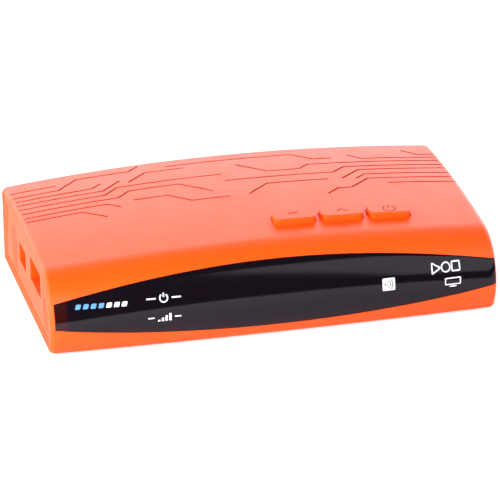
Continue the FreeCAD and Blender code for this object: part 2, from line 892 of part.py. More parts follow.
# --- sockets ----------------------------------------------------------------------------
def usb_socket(from_rear, setback, riser):
    """USB-A socket: folded shell open to the left, contact tongue, and a riser block if it is lifted."""
    y = rear_y - from_rear
    z = usb_level(riser)
    mouth = -inner_x + setback
    shell = box(mouth, mouth + usb_length, y - usb_width / 2, y + usb_width / 2,
                z - usb_height / 2, z + usb_height / 2)
    cavity = box(mouth - 1, mouth + usb_length - 2 * usb_sheet, y - usb_width / 2 + usb_sheet,
                 y + usb_width / 2 - usb_sheet, z - usb_height / 2 + usb_sheet,
                 z + usb_height / 2 - usb_sheet)
    tongue_top = z + usb_height / 2 - usb_sheet - usb_tongue_gap
    tongue = box(mouth + usb_tongue_setback, mouth + usb_length - usb_sheet, y - usb_tongue_width / 2,
                 y + usb_tongue_width / 2, tongue_top - usb_tongue_thickness, tongue_top)
    pieces = [shell.cut(cavity), tongue]
    if riser > 0:
        pieces.append(box(mouth + 1, mouth + usb_length, y - usb_width / 2, y + usb_width / 2,
                          board_z, z - usb_height / 2))
    return joined(pieces)


def power_jack():
    y1 = rear_y - socket_recess
    z = board_z + power_jack_height / 2
    body = box(power_jack_x - power_jack_width / 2, power_jack_x + power_jack_width / 2,
               y1 - power_jack_length, y1, board_z, board_z + power_jack_height)
    floor = y1 - power_jack_bore_depth
    bore = rod_to_rear(power_jack_x, z, floor, y1 + 1, power_jack_bore)
    pin = rod_to_rear(power_jack_x, z, floor - 1, y1 - power_jack_pin_setback, power_jack_pin)
    return body.cut(bore).fuse(pin)


def av_jack():
    y1 = rear_y - socket_recess
    z = board_z + av_jack_height / 2
    inner = rear_y - wall - panel_clearance
    body = box(av_jack_x - av_jack_width / 2, av_jack_x + av_jack_width / 2,
               y1 - av_jack_length, inner, board_z, board_z + av_jack_height)
    collar = rod_to_rear(av_jack_x, z, inner - 0.5, y1, av_collar_radius)
    bore = rod_to_rear(av_jack_x, z, y1 - av_jack_depth, y1 + 1, av_jack_bore)
    return joined([body, collar]).cut(bore)


def hdmi_outline(shrink, y):
    """Outline of the shell: full width above, narrowing to the foot."""
    half = hdmi_width / 2 - shrink
    foot = hdmi_foot_width / 2 - shrink
    low = board_z + shrink
    high = board_z + hdmi_height - shrink
    shoulder = board_z + hdmi_shoulder
    return [V(hdmi_x - foot, y, low), V(hdmi_x + foot, y, low), V(hdmi_x + half, y, shoulder),
            V(hdmi_x + half, y, high), V(hdmi_x - half, y, high), V(hdmi_x - half, y, shoulder)]


def hdmi_socket():
    mouth = rear_y - socket_recess
    back = mouth - hdmi_length
    shell = prism(hdmi_outline(0, back), V(0, hdmi_length, 0))
    cavity = prism(hdmi_outline(hdmi_sheet, back + 2 * hdmi_sheet), V(0, hdmi_length, 0))
    middle = board_z + hdmi_height / 2 + hdmi_sheet / 2
    tongue = box(hdmi_x - hdmi_foot_width / 2, hdmi_x + hdmi_foot_width / 2, back + hdmi_sheet, mouth - 2.0,
                 middle - hdmi_tongue_thickness / 2, middle + hdmi_tongue_thickness / 2)
    return joined([shell.cut(cavity), tongue])


# --- tuner ------------------------------------------------------------------------------
def can_rear():
    return rear_y - wall - board_rear_gap


def tuner_can():
    """Open-topped sheet box around the tuner, with a hole for the aerial socket."""
    rear = can_rear()
    outer = box(lnb_x - can_width / 2, lnb_x + can_width / 2, rear - can_depth, rear,
                board_z, board_z + can_height)
    inner = box(lnb_x - can_width / 2 + can_sheet, lnb_x + can_width / 2 - can_sheet,
                rear - can_depth + can_sheet, rear - can_sheet, board_z + can_sheet, board_z + can_height + 1)
    return outer.cut(inner).cut(rod_to_rear(lnb_x, board_z + lnb_level, rear - 1, rear + 1, lnb_core_radius))


def tuner_lid():
    rear = can_rear()
    fold = lid_sheet
    plate = box(lnb_x - can_width / 2 - fold, lnb_x + can_width / 2 + fold, rear - can_depth - fold, rear,
                board_z + can_height - lid_skirt, board_z + can_height + fold)
    hollow = box(lnb_x - can_width / 2, lnb_x + can_width / 2, rear - can_depth, rear + 1,
                 board_z + can_height - lid_skirt - 1, board_z + can_height)
    return plate.cut(hollow)


def nut_outer_face():
    return rear_y + lnb_washer_thickness + lnb_nut_thickness


def lnb_socket():
    """Threaded aerial socket: its barrel runs from inside the can out through the rear wall."""
    z = board_z + lnb_level
    tip = rear_y + lnb_reach
    inner_end = can_rear() - can_sheet - lnb_inside
    core = rod_to_rear(lnb_x, z, inner_end, nut_outer_face() + 1, lnb_core_radius)
    thread = rod_to_rear(lnb_x, z, nut_outer_face(), tip, lnb_radius)
    bore = rod_to_rear(lnb_x, z, tip - lnb_bore_depth, tip + 1, lnb_bore)
    insulator = rod_to_rear(lnb_x, z, tip - lnb_bore_depth - 1, tip - lnb_contact_setback, lnb_contact_radius)
    return joined([core, thread]).cut(bore).fuse(insulator)


def lnb_washer():
    z = board_z + lnb_level
    ring = rod_to_rear(lnb_x, z, rear_y, rear_y + lnb_washer_thickness, lnb_washer_radius)
    return ring.cut(rod_to_rear(lnb_x, z, rear_y - 1, nut_outer_face(), lnb_core_radius))


def lnb_nut():
    z = board_z + lnb_level
    y = rear_y + lnb_washer_thickness
    corner = lnb_nut_flats / math.sqrt(3)
    turns = [math.radians(60 * i) for i in range(6)]
    points = [V(lnb_x + corner * math.cos(turn), y, z + corner * math.sin(turn)) for turn in turns]
    hexagon = prism(points, V(0, lnb_nut_thickness, 0))
    return hexagon.cut(rod_to_rear(lnb_x, z, y - 1, y + lnb_nut_thickness + 1, lnb_core_radius))


# --- parts on the main board ------------------------------------------------------------
def main_chip():
    return block_on(chip_x, rear_y - chip_from_rear, board_z, chip_side, chip_side, chip_height)


def heat_sink():
    z = board_z + chip_height
    y = rear_y - chip_from_rear
    base = block_on(chip_x, y, z, sink_side, sink_side, sink_base)
    pitch = (sink_side - fin_thickness) / (sink_fins - 1)
    first = chip_x - sink_side / 2 + fin_thickness / 2
    fins = [block_on(first + i * pitch, y, z + sink_base / 2, fin_thickness, sink_side,
                     sink_height - sink_base / 2)
            for i in range(sink_fins)]
    return joined([base] + fins)


def memory_chips():
    reach = (memory_depth + memory_gap) / 2
    y = rear_y - chip_from_rear
    return group([block_on(memory_x, y + side * reach, board_z, memory_width, memory_depth, memory_height)
                  for side in (-1, 1)])


def flash_chip():
    return block_on(flash_x, rear_y - chip_from_rear, board_z, flash_width, flash_depth, flash_height)


def power_row(step):
    return power_jack_x + step * power_row_pitch, rear_y - power_row_from_rear


def capacitors():
    cans = []
    for step in (0, 1):
        x, y = power_row(step)
        cans.append(post(x, y, board_z, board_z + capacitor_height, capacitor_radius))
    return group(cans)


def inductors():
    coils = []
    for step in (2, 3):
        x, y = power_row(step)
        body = block_on(x, y, board_z, inductor_side, inductor_side, inductor_height)
        uprights = [edge for edge in body.Edges if edge.BoundBox.ZLength > inductor_height / 2]
        coils.append(body.makeChamfer(inductor_side / 6, uprights))
    return group(coils)


def regulators():
    chips = []
    for step in (0, 1):
        x, y = power_row(step)
        y -= 2 * capacitor_radius
        chips.append(block_on(x, y, board_z, regulator_width, regulator_depth, regulator_height))
    return group(chips)


def crystal():
    return rounded_prism(crystal_x, rear_y - crystal_from_rear, crystal_width, crystal_depth,
                         crystal_depth * 0.45, board_z, board_z + crystal_height)


# --- the whole receiver -----------------------------------------------------------------
def build():
    nodes = {
        "top_cover": top_cover(),
        "bottom_tray": bottom_tray(),
        "front_window": front_window(),
        "feet": feet(),
        "case_screws": case_screws(),
        "board_screws": board_screws(),
        "main_board": main_board(),
        "front_board": front_board(),
        "cable_headers": cable_headers(),
        "front_cable": front_cable(),
        "infrared_receiver": infrared_receiver(),
        "usb_socket_rear": usb_socket(usb_rear_from_rear, usb_rear_setback, 0),
        "usb_socket_front": usb_socket(usb_front_from_rear, usb_front_setback, usb_front_riser),
        "power_jack": power_jack(),
        "av_jack": av_jack(),
        "hdmi_socket": hdmi_socket(),
        "tuner_can": tuner_can(),
        "tuner_lid": tuner_lid(),
        "lnb_socket": lnb_socket(),
        "lnb_washer": lnb_washer(),
        "lnb_nut": lnb_nut(),
        "main_chip": main_chip(),
        "heat_sink": heat_sink(),
        "memory_chips": memory_chips(),
        "flash_chip": flash_chip(),
        "capacitors": capacitors(),
        "inductors": inductors(),
        "regulators": regulators(),
        "crystal": crystal(),
    }
    for name, (x, z) in zip(("power_light", "signal_light"), light_places()):
        nodes[name] = indicator_light(x, z)
    for i, name in enumerate(key_names):
        nodes["key_" + name] = key(i)
        nodes["switch_" + name] = push_switch(i)
        nodes["plunger_" + name] = plunger(i)
    return nodes


os.makedirs("parts", exist_ok=True)
for node, shape in build().items():
    shape.exportStep("parts/" + node + ".step")
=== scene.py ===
import math

import bmesh
import bpy
from mathutils import Matrix, Vector
from mathutils.bvhtree import BVHTree


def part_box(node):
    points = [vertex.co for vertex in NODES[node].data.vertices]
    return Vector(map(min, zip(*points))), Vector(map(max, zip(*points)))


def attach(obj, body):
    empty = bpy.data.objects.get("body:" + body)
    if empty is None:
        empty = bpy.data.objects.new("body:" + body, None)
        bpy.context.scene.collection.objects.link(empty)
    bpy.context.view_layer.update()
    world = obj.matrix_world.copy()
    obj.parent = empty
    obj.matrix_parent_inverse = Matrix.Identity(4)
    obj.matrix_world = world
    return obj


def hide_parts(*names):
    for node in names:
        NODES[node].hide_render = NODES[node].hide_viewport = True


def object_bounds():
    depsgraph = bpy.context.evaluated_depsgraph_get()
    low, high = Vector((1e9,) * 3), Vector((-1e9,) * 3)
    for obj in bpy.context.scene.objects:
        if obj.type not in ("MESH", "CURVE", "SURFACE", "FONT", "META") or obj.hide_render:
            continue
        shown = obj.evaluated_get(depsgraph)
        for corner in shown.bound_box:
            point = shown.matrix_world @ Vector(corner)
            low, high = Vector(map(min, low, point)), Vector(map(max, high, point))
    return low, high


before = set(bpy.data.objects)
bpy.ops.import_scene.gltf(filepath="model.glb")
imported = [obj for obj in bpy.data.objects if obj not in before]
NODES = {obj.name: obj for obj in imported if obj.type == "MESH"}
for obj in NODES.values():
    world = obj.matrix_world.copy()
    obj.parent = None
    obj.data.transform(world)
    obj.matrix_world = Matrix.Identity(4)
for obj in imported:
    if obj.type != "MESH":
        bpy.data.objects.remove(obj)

CAD_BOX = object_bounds()
MM = 0.001
HOUSING = "housing"

# --- camera ---------------------------------------------------------------------------
# Focal length in pixels of the 500 pixel wide picture, distance and angles of the view, the
# point that the angles turn about, and the pixel where that point is seen.
PICTURE_SIZE = 500
FOCAL_PIXELS = 4601.857
DISTANCE = 1759.297 * MM
AZIMUTH = math.radians(-12.3505)
ELEVATION = math.radians(22.0418)
ROLL = math.radians(-1.1504)
PIVOT = Vector((0.0, 11.474, 21.2)) * MM
PIVOT_PIXEL = (236.820, 220.297)


def make_camera():
    """Camera turned about the pivot, and then tilted so that the pivot is seen at its pixel."""
    back = Vector((math.sin(AZIMUTH) * math.cos(ELEVATION), -math.cos(AZIMUTH) * math.cos(ELEVATION),
                   math.sin(ELEVATION)))
    right = Vector((math.cos(AZIMUTH), math.sin(AZIMUTH), 0))
    up = back.cross(right)
    c, s = math.cos(ROLL), math.sin(ROLL)
    basis = Matrix((c * right + s * up, c * up - s * right, back)).transposed()
    middle = PICTURE_SIZE / 2
    ahead = Vector(((middle - PIVOT_PIXEL[0]) / FOCAL_PIXELS, (PIVOT_PIXEL[1] - middle) / FOCAL_PIXELS, -1))
    turn = Vector((0, 0, -1)).rotation_difference(ahead).to_matrix()
    data = bpy.data.cameras.new("camera")
    data.sensor_width = 36
    data.lens = FOCAL_PIXELS * data.sensor_width / PICTURE_SIZE
    data.clip_start = 0.05
    data.clip_end = 60
    camera = bpy.data.objects.new("camera", data)
    camera.matrix_world = Matrix.Translation(PIVOT + back * DISTANCE) @ (basis @ turn).to_4x4()
    bpy.context.scene.collection.objects.link(camera)
    bpy.context.scene.camera = camera


# --- shader graphs --------------------------------------------------------------------
NOISE_RANGE = (0.3, 0.7)      # where nearly all values of a noise texture lie


class Graph:
    """Short ways to add shader nodes to one node tree."""

    def __init__(self, tree):
        self.tree = tree

    def node(self, kind, **settings):
        made = self.tree.nodes.new(kind)
        for key, value in settings.items():
            setattr(made, key, value)
        return made

    def feed(self, socket, value):
        """Sets a socket, or links it where the value is another socket."""
        if isinstance(value, bpy.types.NodeSocket):
            self.tree.links.new(value, socket)
        elif isinstance(value, tuple) and len(value) == 3 and socket.type == "RGBA":
            socket.default_value = (*value, 1)
        elif value is not None:
            socket.default_value = value

    def math(self, operation, *values):
        made = self.node("ShaderNodeMath", operation=operation)
        for socket, value in zip(made.inputs, values):
            self.feed(socket, value)
        return made.outputs[0]

    def scaled(self, value, low, high, to_low=0.0, to_high=1.0):
        """Smooth step from one value to another while the input goes from low to high."""
        made = self.node("ShaderNodeMapRange", interpolation_type="SMOOTHSTEP")
        for socket, setting in zip(made.inputs, (value, low, high, to_low, to_high)):
            self.feed(socket, setting)
        return made.outputs[0]

    def axes(self, vector):
        made = self.node("ShaderNodeSeparateXYZ")
        self.feed(made.inputs[0], vector)
        return made.outputs

    def mix(self, factor, a, b):
        made = self.node("ShaderNodeMix", data_type="RGBA")
        for index, value in ((0, factor), (6, a), (7, b)):
            self.feed(made.inputs[index], value)
        return made.outputs[2]

    def product(self, *values):
        total = values[0]
        for value in values[1:]:
            total = self.math("MULTIPLY", total, value)
        return total


class Finish(Graph):
    """A material round one Principled shader."""

    def __init__(self, name, colour, roughness, metallic=0.0):
        self.material = bpy.data.materials.new(name)
        self.material.use_nodes = True
        super().__init__(self.material.node_tree)
        self.shader = self.tree.nodes["Principled BSDF"]
        self.base = colour
        self.set("Base Color", colour)
        self.set("Roughness", roughness)
        self.set("Metallic", metallic)
        self.place = self.node("ShaderNodeTexCoord").outputs["Object"]

    def set(self, name, value):
        self.feed(self.shader.inputs[name], value)

    def noise(self, scale, detail=2.0, stretch=None):
        place = self.place
        if stretch:
            mapping = self.node("ShaderNodeMapping")
            mapping.inputs["Scale"].default_value = stretch
            self.feed(mapping.inputs["Vector"], place)
            place = mapping.outputs[0]
        made = self.node("ShaderNodeTexNoise")
        made.inputs["Scale"].default_value = scale
        made.inputs["Detail"].default_value = detail
        self.feed(made.inputs["Vector"], place)
        return made.outputs["Fac"]

    def cells(self, scale, **settings):
        """Outputs of a texture of cells round scattered points."""
        made = self.node("ShaderNodeTexVoronoi", **settings)
        made.inputs["Scale"].default_value = scale
        self.feed(made.inputs["Vector"], self.place)
        return made.outputs

    def stripes(self, direction, scale):
        """Even stripes across an axis."""
        made = self.node("ShaderNodeTexWave", wave_type="BANDS", bands_direction=direction)
        made.inputs["Scale"].default_value = scale
        self.feed(made.inputs["Vector"], self.place)
        return made.outputs["Fac"]

    def within(self, axis, low, high, blur=0.00005):
        """1 between two places on an axis, 0 outside."""
        at = self.axes(self.place)[axis]
        rise = self.scaled(at, low - blur, low + blur)
        drop = self.scaled(at, high - blur, high + blur, 1, 0)
        return self.math("MULTIPLY", rise, drop)

    def inside(self, low, high):
        """1 inside a box of the frame, 0 outside."""
        return self.product(*[self.within(axis, low[axis], high[axis]) for axis in range(3)])

    def bump(self, height, strength, distance):
        made = self.node("ShaderNodeBump")
        made.inputs["Strength"].default_value = strength
        made.inputs["Distance"].default_value = distance
        self.feed(made.inputs["Height"], height)
        self.set("Normal", made.outputs[0])

    def clouds(self, scale, detail, low=0.0, high=1.0):
        """Noise spread over a range."""
        return self.scaled(self.noise(scale, detail), *NOISE_RANGE, low, high)

    def drift(self, low, high, scale=14):
        """Slow change of tone over the piece."""
        tone = self.mix(self.clouds(scale, 3), tinted(self.base, low), tinted(self.base, high))
        self.set("Base Color", tone)
        return tone


def tinted(colour, factor):
    return tuple(min(1.0, c * factor) for c in colour)


# --- light and surroundings -----------------------------------------------------------
# Levels seen in reflections. Pairs are soft steps of the direction looked in, whose parts x, y
# and z run from -1 to 1 to the right, to the rear and up.
FRONT_LEVEL = 0.05        # of the dim studio in front of the object
REAR_LEVEL = 3.15         # of the bright backdrop behind it and to its left
CEILING_LEVEL = 0.12      # of the studio above the backdrop
SOFTBOX_LEVEL = 1.45      # of the large pale panel at the front right
LIT_COLOUR = (0.92, 0.94, 1.0)
BACKDROP_TURN = -0.35     # turns the backdrop round to the left
BACKDROP_SIDES = (-0.35, 0.25)
BACKDROP_TOP = (0.35, 0.85)
CEILING_SIDES = (-0.6, 0.3)
SOFTBOX_SLANT = 0.12      # lean of the panel's near edge
SOFTBOX_EDGE = (0.325, 0.355)
SOFTBOX_FOOT = (0.10, 0.16)
SOFTBOX_TOP = (0.79, 0.82)
SOFTBOX_REAR = (-0.12, -0.05)

FLOOR_COLOUR = (0.86, 0.86, 0.87)
FLOOR_GLOW = 0.5          # added for the camera alone, so that the floor is seen as white
FLOOR_EDGE_Y = -0.14      # where the table's reflection ends in front of the object
FLOOR_REACH = 4.0

LAMP_AIM = Vector((0, 0, 0.02))
# Soft panels: name, place, size and watts.
LAMPS = (
    ("front_key", (-0.22, -0.48, 0.265), (0.34, 0.24), 3.8),
    ("right_fill", (0.7, -0.25, 0.2), (0.5, 0.3), 0.9),
    ("left_fill", (-0.8, -0.20, 0.12), (0.5, 0.2), 5.2),
)


def area_light(name, place, size, power):
    """Soft panel aimed at the object; its own glare is left out of reflections."""
    data = bpy.data.lights.new(name, "AREA")
    data.shape = "RECTANGLE"
    data.size, data.size_y = size
    data.energy = power
    light = bpy.data.objects.new(name, data)
    light.location = place
    light.rotation_euler = (LAMP_AIM - Vector(place)).to_track_quat("-Z", "Y").to_euler()
    light.visible_glossy = False
    bpy.context.scene.collection.objects.link(light)


def make_world():
    """White behind the object; for reflections a bright rear and left, and a dim front with one panel."""
    world = bpy.data.worlds.new("studio")
    bpy.context.scene.world = world
    world.use_nodes = True
    world.node_tree.nodes.clear()
    g = Graph(world.node_tree)
    x, y, z = g.axes(g.node("ShaderNodeTexCoord").outputs["Generated"])
    rearward = g.math("MULTIPLY_ADD", x, BACKDROP_TURN, y)
    backdrop = g.product(g.scaled(rearward, *BACKDROP_SIDES), g.scaled(z, *BACKDROP_TOP, 1, 0), REAR_LEVEL)
    studio = g.math("MAXIMUM", backdrop, g.scaled(rearward, *CEILING_SIDES, FRONT_LEVEL, CEILING_LEVEL))
    aside = g.math("DIVIDE", x, g.math("MULTIPLY", y, -1.0))
    slanted = g.math("MULTIPLY_ADD", z, SOFTBOX_SLANT, aside)
    softbox = g.product(g.scaled(slanted, *SOFTBOX_EDGE), g.scaled(z, *SOFTBOX_FOOT),
                        g.scaled(z, *SOFTBOX_TOP, 1, 0), g.scaled(y, *SOFTBOX_REAR, 1, 0), SOFTBOX_LEVEL)
    lit = g.node("ShaderNodeBackground")
    g.feed(lit.inputs["Color"], LIT_COLOUR)
    g.feed(lit.inputs["Strength"], g.math("MAXIMUM", studio, softbox))
    seen = g.node("ShaderNodeBackground")
    g.feed(seen.inputs["Color"], (1.0, 1.0, 1.0))
    path = g.node("ShaderNodeLightPath").outputs
    both = g.node("ShaderNodeMixShader")
    g.feed(both.inputs[0], g.math("MAXIMUM", path["Is Camera Ray"], path["Is Transmission Ray"]))
    g.feed(both.inputs[1], lit.outputs[0])
    g.feed(both.inputs[2], seen.outputs[0])
    g.feed(g.node("ShaderNodeOutputWorld").inputs[0], both.outputs[0])


def floor_material():
    """Pale and matt, and a little brighter where the camera sees it directly."""
    made = bpy.data.materials.new("studio_floor")
    made.use_nodes = True
    made.node_tree.nodes.clear()
    g = Graph(made.node_tree)
    diffuse = g.node("ShaderNodeBsdfDiffuse")
    g.feed(diffuse.inputs["Color"], FLOOR_COLOUR)
    glow = g.node("ShaderNodeEmission")
    camera_ray = g.node("ShaderNodeLightPath").outputs["Is Camera Ray"]
    g.feed(glow.inputs["Strength"], g.math("MULTIPLY", camera_ray, FLOOR_GLOW))
    both = g.node("ShaderNodeAddShader")
    g.feed(both.inputs[0], diffuse.outputs[0])
    g.feed(both.inputs[1], glow.outputs[0])
    g.feed(g.node("ShaderNodeOutputMaterial").inputs[0], both.outputs[0])
    return made


def make_floor():
    """Two pale planes side by side; the one in front keeps out of reflections."""
    material = floor_material()
    for name, low, high in (("floor_front", -FLOOR_REACH, FLOOR_EDGE_Y),
                            ("floor_rear", FLOOR_EDGE_Y, FLOOR_REACH)):
        mesh = bpy.data.meshes.new(name)
        corners = [(-FLOOR_REACH, low, 0), (FLOOR_REACH, low, 0),
                   (FLOOR_REACH, high, 0), (-FLOOR_REACH, high, 0)]
        mesh.from_pydata(corners, [], [(0, 1, 2, 3)])
        mesh.materials.append(material)
        floor = bpy.data.objects.new(name, mesh)
        floor.visible_glossy = name == "floor_rear"
        bpy.context.scene.collection.objects.link(floor)


# --- form of the housing, in millimetres ----------------------------------------------
# Section of the housing from front to rear: a large top arc, a brow arc and a nose arc, tangent
# to each other. Towards the ends the top arc sinks by the crown's drop, and the nose arc draws
# back by the front's bow.
HALF_WIDTH = 85.0
CROWN_Y = 7.9
CROWN_Z = 36.6
CROWN_DROP = 4.6
ARCH_RADIUS = 787.7       # of the top from end to end
TOP_RADIUS = 580.0        # of the top from front to rear
BROW_RADIUS = 18.0
NOSE_RADIUS = 26.0
NOSE_Z = 15.7
FRONT_Y = CAD_BOX[0][1] / MM
FRONT_BOW = 1.7
CORNER_RADIUS = 2.5       # of the upper and front edges of both sides

# The finish finds the engraved lines by their depth under the arched top. Each pair is a soft
# step: where a line begins, where its walls end and its floor begins, and where anything deeper
# isn't a line. Then the part of the top that holds the lines.
GROOVE_BEGIN = (0.035, 0.09)
GROOVE_WALLS_END = (0.4, 0.45)
GROOVE_END = (0.8, 0.9)
GROOVE_FROM_SIDES = 0.9
GROOVE_FROM_REAR = 2.6
GROOVE_FRONT_Y = -30.0
# Upright flutes of the sides: the two stretches that hold them, and their depths with blur.
FLUTE_ZONES = ((14.0, 23.2), (-49.0, -39.8))
FLUTE_BEGIN = (0.08, 0.2)
FLUTE_END = (0.4, 0.5)
# Matt strip at the rear end of each side: its width, its end and blur, and how far from the
# side's face the finish begins and is full.
GRIP_WIDTH = 7.0
GRIP_FROM_REAR = 0.8
GRIP_BLUR = 0.6
GRIP_BEGIN = (0.3, 0.05)
MAROON_END = (3.8, 5.4)   # where the window's maroon end fades, from its left tip


# --- finishes -------------------------------------------------------------------------
ORANGE = (0.95, 0.082, 0.003)
# Painted shade in the engraved lines: a little on their floors, much on their walls.
GROOVE_FLOOR_PAINTED_SHADE = (0.75, 0.045, 0.002)
GROOVE_WALL_PAINTED_SHADE = (0.42, 0.012, 0.0005)
FLUTE_PAINTED_SHADE_SHARE = 0.2         # of the groove walls' painted shade that the flutes take
GROOVE_ROUGHNESS = 0.9
GRIP_ROUGHNESS = 0.85
FINE_GRAIN = 4500
COARSE_GRAIN = 1800
GRAIN_DEPTH = 0.02 * MM


def moulded(name, colour, roughness, grain=FINE_GRAIN):
    """Moulded plastic with a spark-eroded grain, and a slow drift of tone and gloss."""
    g = Finish(name, colour, roughness)
    g.set("IOR", 1.42)
    g.tone = g.drift(0.97, 1.02)
    g.gloss = g.clouds(160, 3, roughness - 0.02, roughness + 0.03)
    g.set("Roughness", g.gloss)
    g.bump(g.noise(grain, 2), 0.2, GRAIN_DEPTH)
    return g


def groove_masks(g):
    """1 in the engraved lines, and 1 on their walls alone, by the depth under the arched top."""
    x, y, z = g.axes(g.place)
    arch = g.math("DIVIDE", g.math("POWER", x, 2.0), -2 * ARCH_RADIUS * MM)
    from_crown = g.math("SUBTRACT", y, CROWN_Y * MM)
    crown = g.math("DIVIDE", g.math("POWER", from_crown, 2.0), -2 * TOP_RADIUS * MM)
    low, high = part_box("top_cover")
    corner = CORNER_RADIUS * MM
    past = g.math("MAXIMUM", g.math("SUBTRACT", g.math("ABSOLUTE", x), high.x - corner), 0.0)
    chord = g.math("SQRT", g.math("SUBTRACT", corner ** 2, g.math("POWER", past, 2.0)))
    top = g.math("ADD", g.math("ADD", arch, crown), g.math("ADD", chord, CROWN_Z * MM - corner))
    depth = g.math("DIVIDE", g.math("SUBTRACT", top, z), MM)
    groove = g.product(g.scaled(depth, *GROOVE_BEGIN), g.scaled(depth, *GROOVE_END, 1, 0),
                       g.within(0, low.x + GROOVE_FROM_SIDES * MM, high.x - GROOVE_FROM_SIDES * MM),
                       g.within(1, GROOVE_FRONT_Y * MM, high.y - GROOVE_FROM_REAR * MM))
    return groove, g.math("MULTIPLY", groove, g.scaled(depth, *GROOVE_WALLS_END, 1, 0))


def flute_mask(g):
    """1 in the upright flutes of the two sides, by the depth under the side's face."""
    across = g.math("ABSOLUTE", g.axes(g.place)[0])
    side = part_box("top_cover")[1].x
    depth = g.math("DIVIDE", g.math("SUBTRACT", side, across), MM)
    zones = g.math("MAXIMUM", *[g.within(1, low * MM, high * MM) for low, high in FLUTE_ZONES])
    return g.product(g.scaled(depth, *FLUTE_BEGIN), g.scaled(depth, *FLUTE_END, 1, 0), zones)


def cover_plastic():
    """Fine satin plastic with painted shade in the engraved lines and the side flutes, a little on the lines'
    floors and much on their walls; the lines are dull and the grip strips at the rear ends matt.
    """
    g = moulded("orange_plastic", ORANGE, 0.4)
    groove, walls = groove_masks(g)
    # Painted shade: the lines' floors a little darker, their walls much darker, the flutes a little darker.
    shaded_floors = g.mix(groove, g.tone, GROOVE_FLOOR_PAINTED_SHADE)
    painted_shade = g.math("MAXIMUM", walls, g.math("MULTIPLY", flute_mask(g), FLUTE_PAINTED_SHADE_SHARE))
    g.set("Base Color", g.mix(painted_shade, shaded_floors, GROOVE_WALL_PAINTED_SHADE))
    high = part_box("top_cover")[1]
    across = g.math("ABSOLUTE", g.axes(g.place)[0])
    begin, full = (high.x - under * MM for under in GRIP_BEGIN)
    grip = g.product(g.scaled(across, begin, full),
                     g.within(1, high.y - GRIP_WIDTH * MM, high.y - GRIP_FROM_REAR * MM, GRIP_BLUR * MM))
    dull = g.math("MAXIMUM", g.math("MULTIPLY", groove, GROOVE_ROUGHNESS),
                  g.math("MULTIPLY", grip, GRIP_ROUGHNESS))
    g.set("Roughness", g.math("MAXIMUM", g.gloss, dull))
    return g.material


def smoked_acrylic():
    """Nearly black, and maroon at the left end, where the orange behind it shows through."""
    g = Finish("window_acrylic", (0.0042, 0.0022, 0.0045), 0.1)
    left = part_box("front_window")[0].x
    begin, gone = (left + along * MM for along in MAROON_END)
    end = g.scaled(g.axes(g.place)[0], begin, gone, 1, 0)
    g.set("Base Color", g.mix(end, g.base, (0.022, 0.0025, 0.003)))
    g.set("Roughness", g.clouds(90, 4, 0.09, 0.12))
    g.set("IOR", 1.43)
    g.set("Specular Tint", (1.0, 0.9, 1.0))
    return g.material


def sheet_metal(name, colour, roughness):
    """Rolled sheet: fine streaks along X and a faint cloudiness."""
    g = Finish(name, colour, roughness, 1.0)
    g.drift(0.9, 1.05, 60)
    streaks = g.noise(900, 3, (0.05, 1, 1))
    g.set("Roughness", g.scaled(streaks, *NOISE_RANGE, roughness - 0.06, roughness + 0.1))
    g.bump(streaks, 0.15, GRAIN_DEPTH)
    return g


# Board: scales of its copper runs, of the patches that they lie in and of its vias, and the
# share of the patches that has none.
COPPER_RUNS = 180
COPPER_PATCHES = 110
VIAS = 420
BARE_SHARE = 0.45


def solder_mask():
    """Green mask over laminate: paler copper runs, crosswise by patches, and small tinned vias."""
    g = Finish("board_laminate", (0.012, 0.11, 0.045), 0.38)
    across_x, across_y = (g.scaled(g.stripes(axis, COPPER_RUNS), 0.62, 0.72) for axis in ("X", "Y"))
    lot = g.axes(g.cells(COPPER_PATCHES, distance="CHEBYCHEV")["Color"])
    crosswise = g.math("GREATER_THAN", lot[0], 0.5)
    runs = g.node("ShaderNodeMix", data_type="FLOAT")
    for index, value in ((0, crosswise), (2, across_x), (3, across_y)):
        g.feed(runs.inputs[index], value)
    copper = g.math("MULTIPLY", runs.outputs[0], g.math("GREATER_THAN", lot[1], BARE_SHARE))
    vias = g.scaled(g.cells(VIAS)["Distance"], 0.14, 0.18, 1, 0)
    masked = g.mix(copper, g.base, (0.025, 0.19, 0.075))
    g.set("Base Color", g.mix(vias, masked, (0.5, 0.5, 0.46)))
    g.bump(copper, 0.4, 0.03 * MM)
    return g.material


def rubber():
    """Matt black, with a coarse grain."""
    g = Finish("foot_rubber", (0.018, 0.018, 0.019), 0.75)
    g.drift(0.8, 1.3, 300)
    g.bump(g.noise(5000, 3), 0.5, 0.05 * MM)
    return g.material


CONDUCTOR_STRIPES = 314   # scale of the wave texture that spaces them 1 mm apart


def cable_film():
    """Flat cable: pale film with the darker stripes of its conductors."""
    g = Finish("cable_film", (0.62, 0.61, 0.58), 0.35)
    conductors = g.stripes("X", CONDUCTOR_STRIPES)
    g.set("Base Color", g.mix(conductors, g.base, (0.36, 0.33, 0.28)))
    g.bump(conductors, 0.3, 0.05 * MM)
    return g.material


def can_sleeve():
    """Capacitors: dark shrink sleeve below, bare aluminium on the crimped top."""
    g = Finish("capacitor_can", (0.012, 0.014, 0.05), 0.28)
    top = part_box("capacitors")[1].z
    bare = g.within(2, top - 0.4 * MM, top + 1 * MM)
    g.set("Base Color", g.mix(bare, g.base, (0.72, 0.72, 0.73)))
    g.set("Metallic", bare)
    g.bump(g.noise(700, 2), 0.2, 0.03 * MM)
    return g.material


def diffused_resin(name, colour):
    """Milky resin of an indicator light."""
    g = Finish(name, colour, 0.22)
    g.drift(0.9, 1.1, 200)
    g.set("Subsurface Weight", 0.3)
    g.bump(g.noise(1200, 2), 0.1, GRAIN_DEPTH)
    return g.material


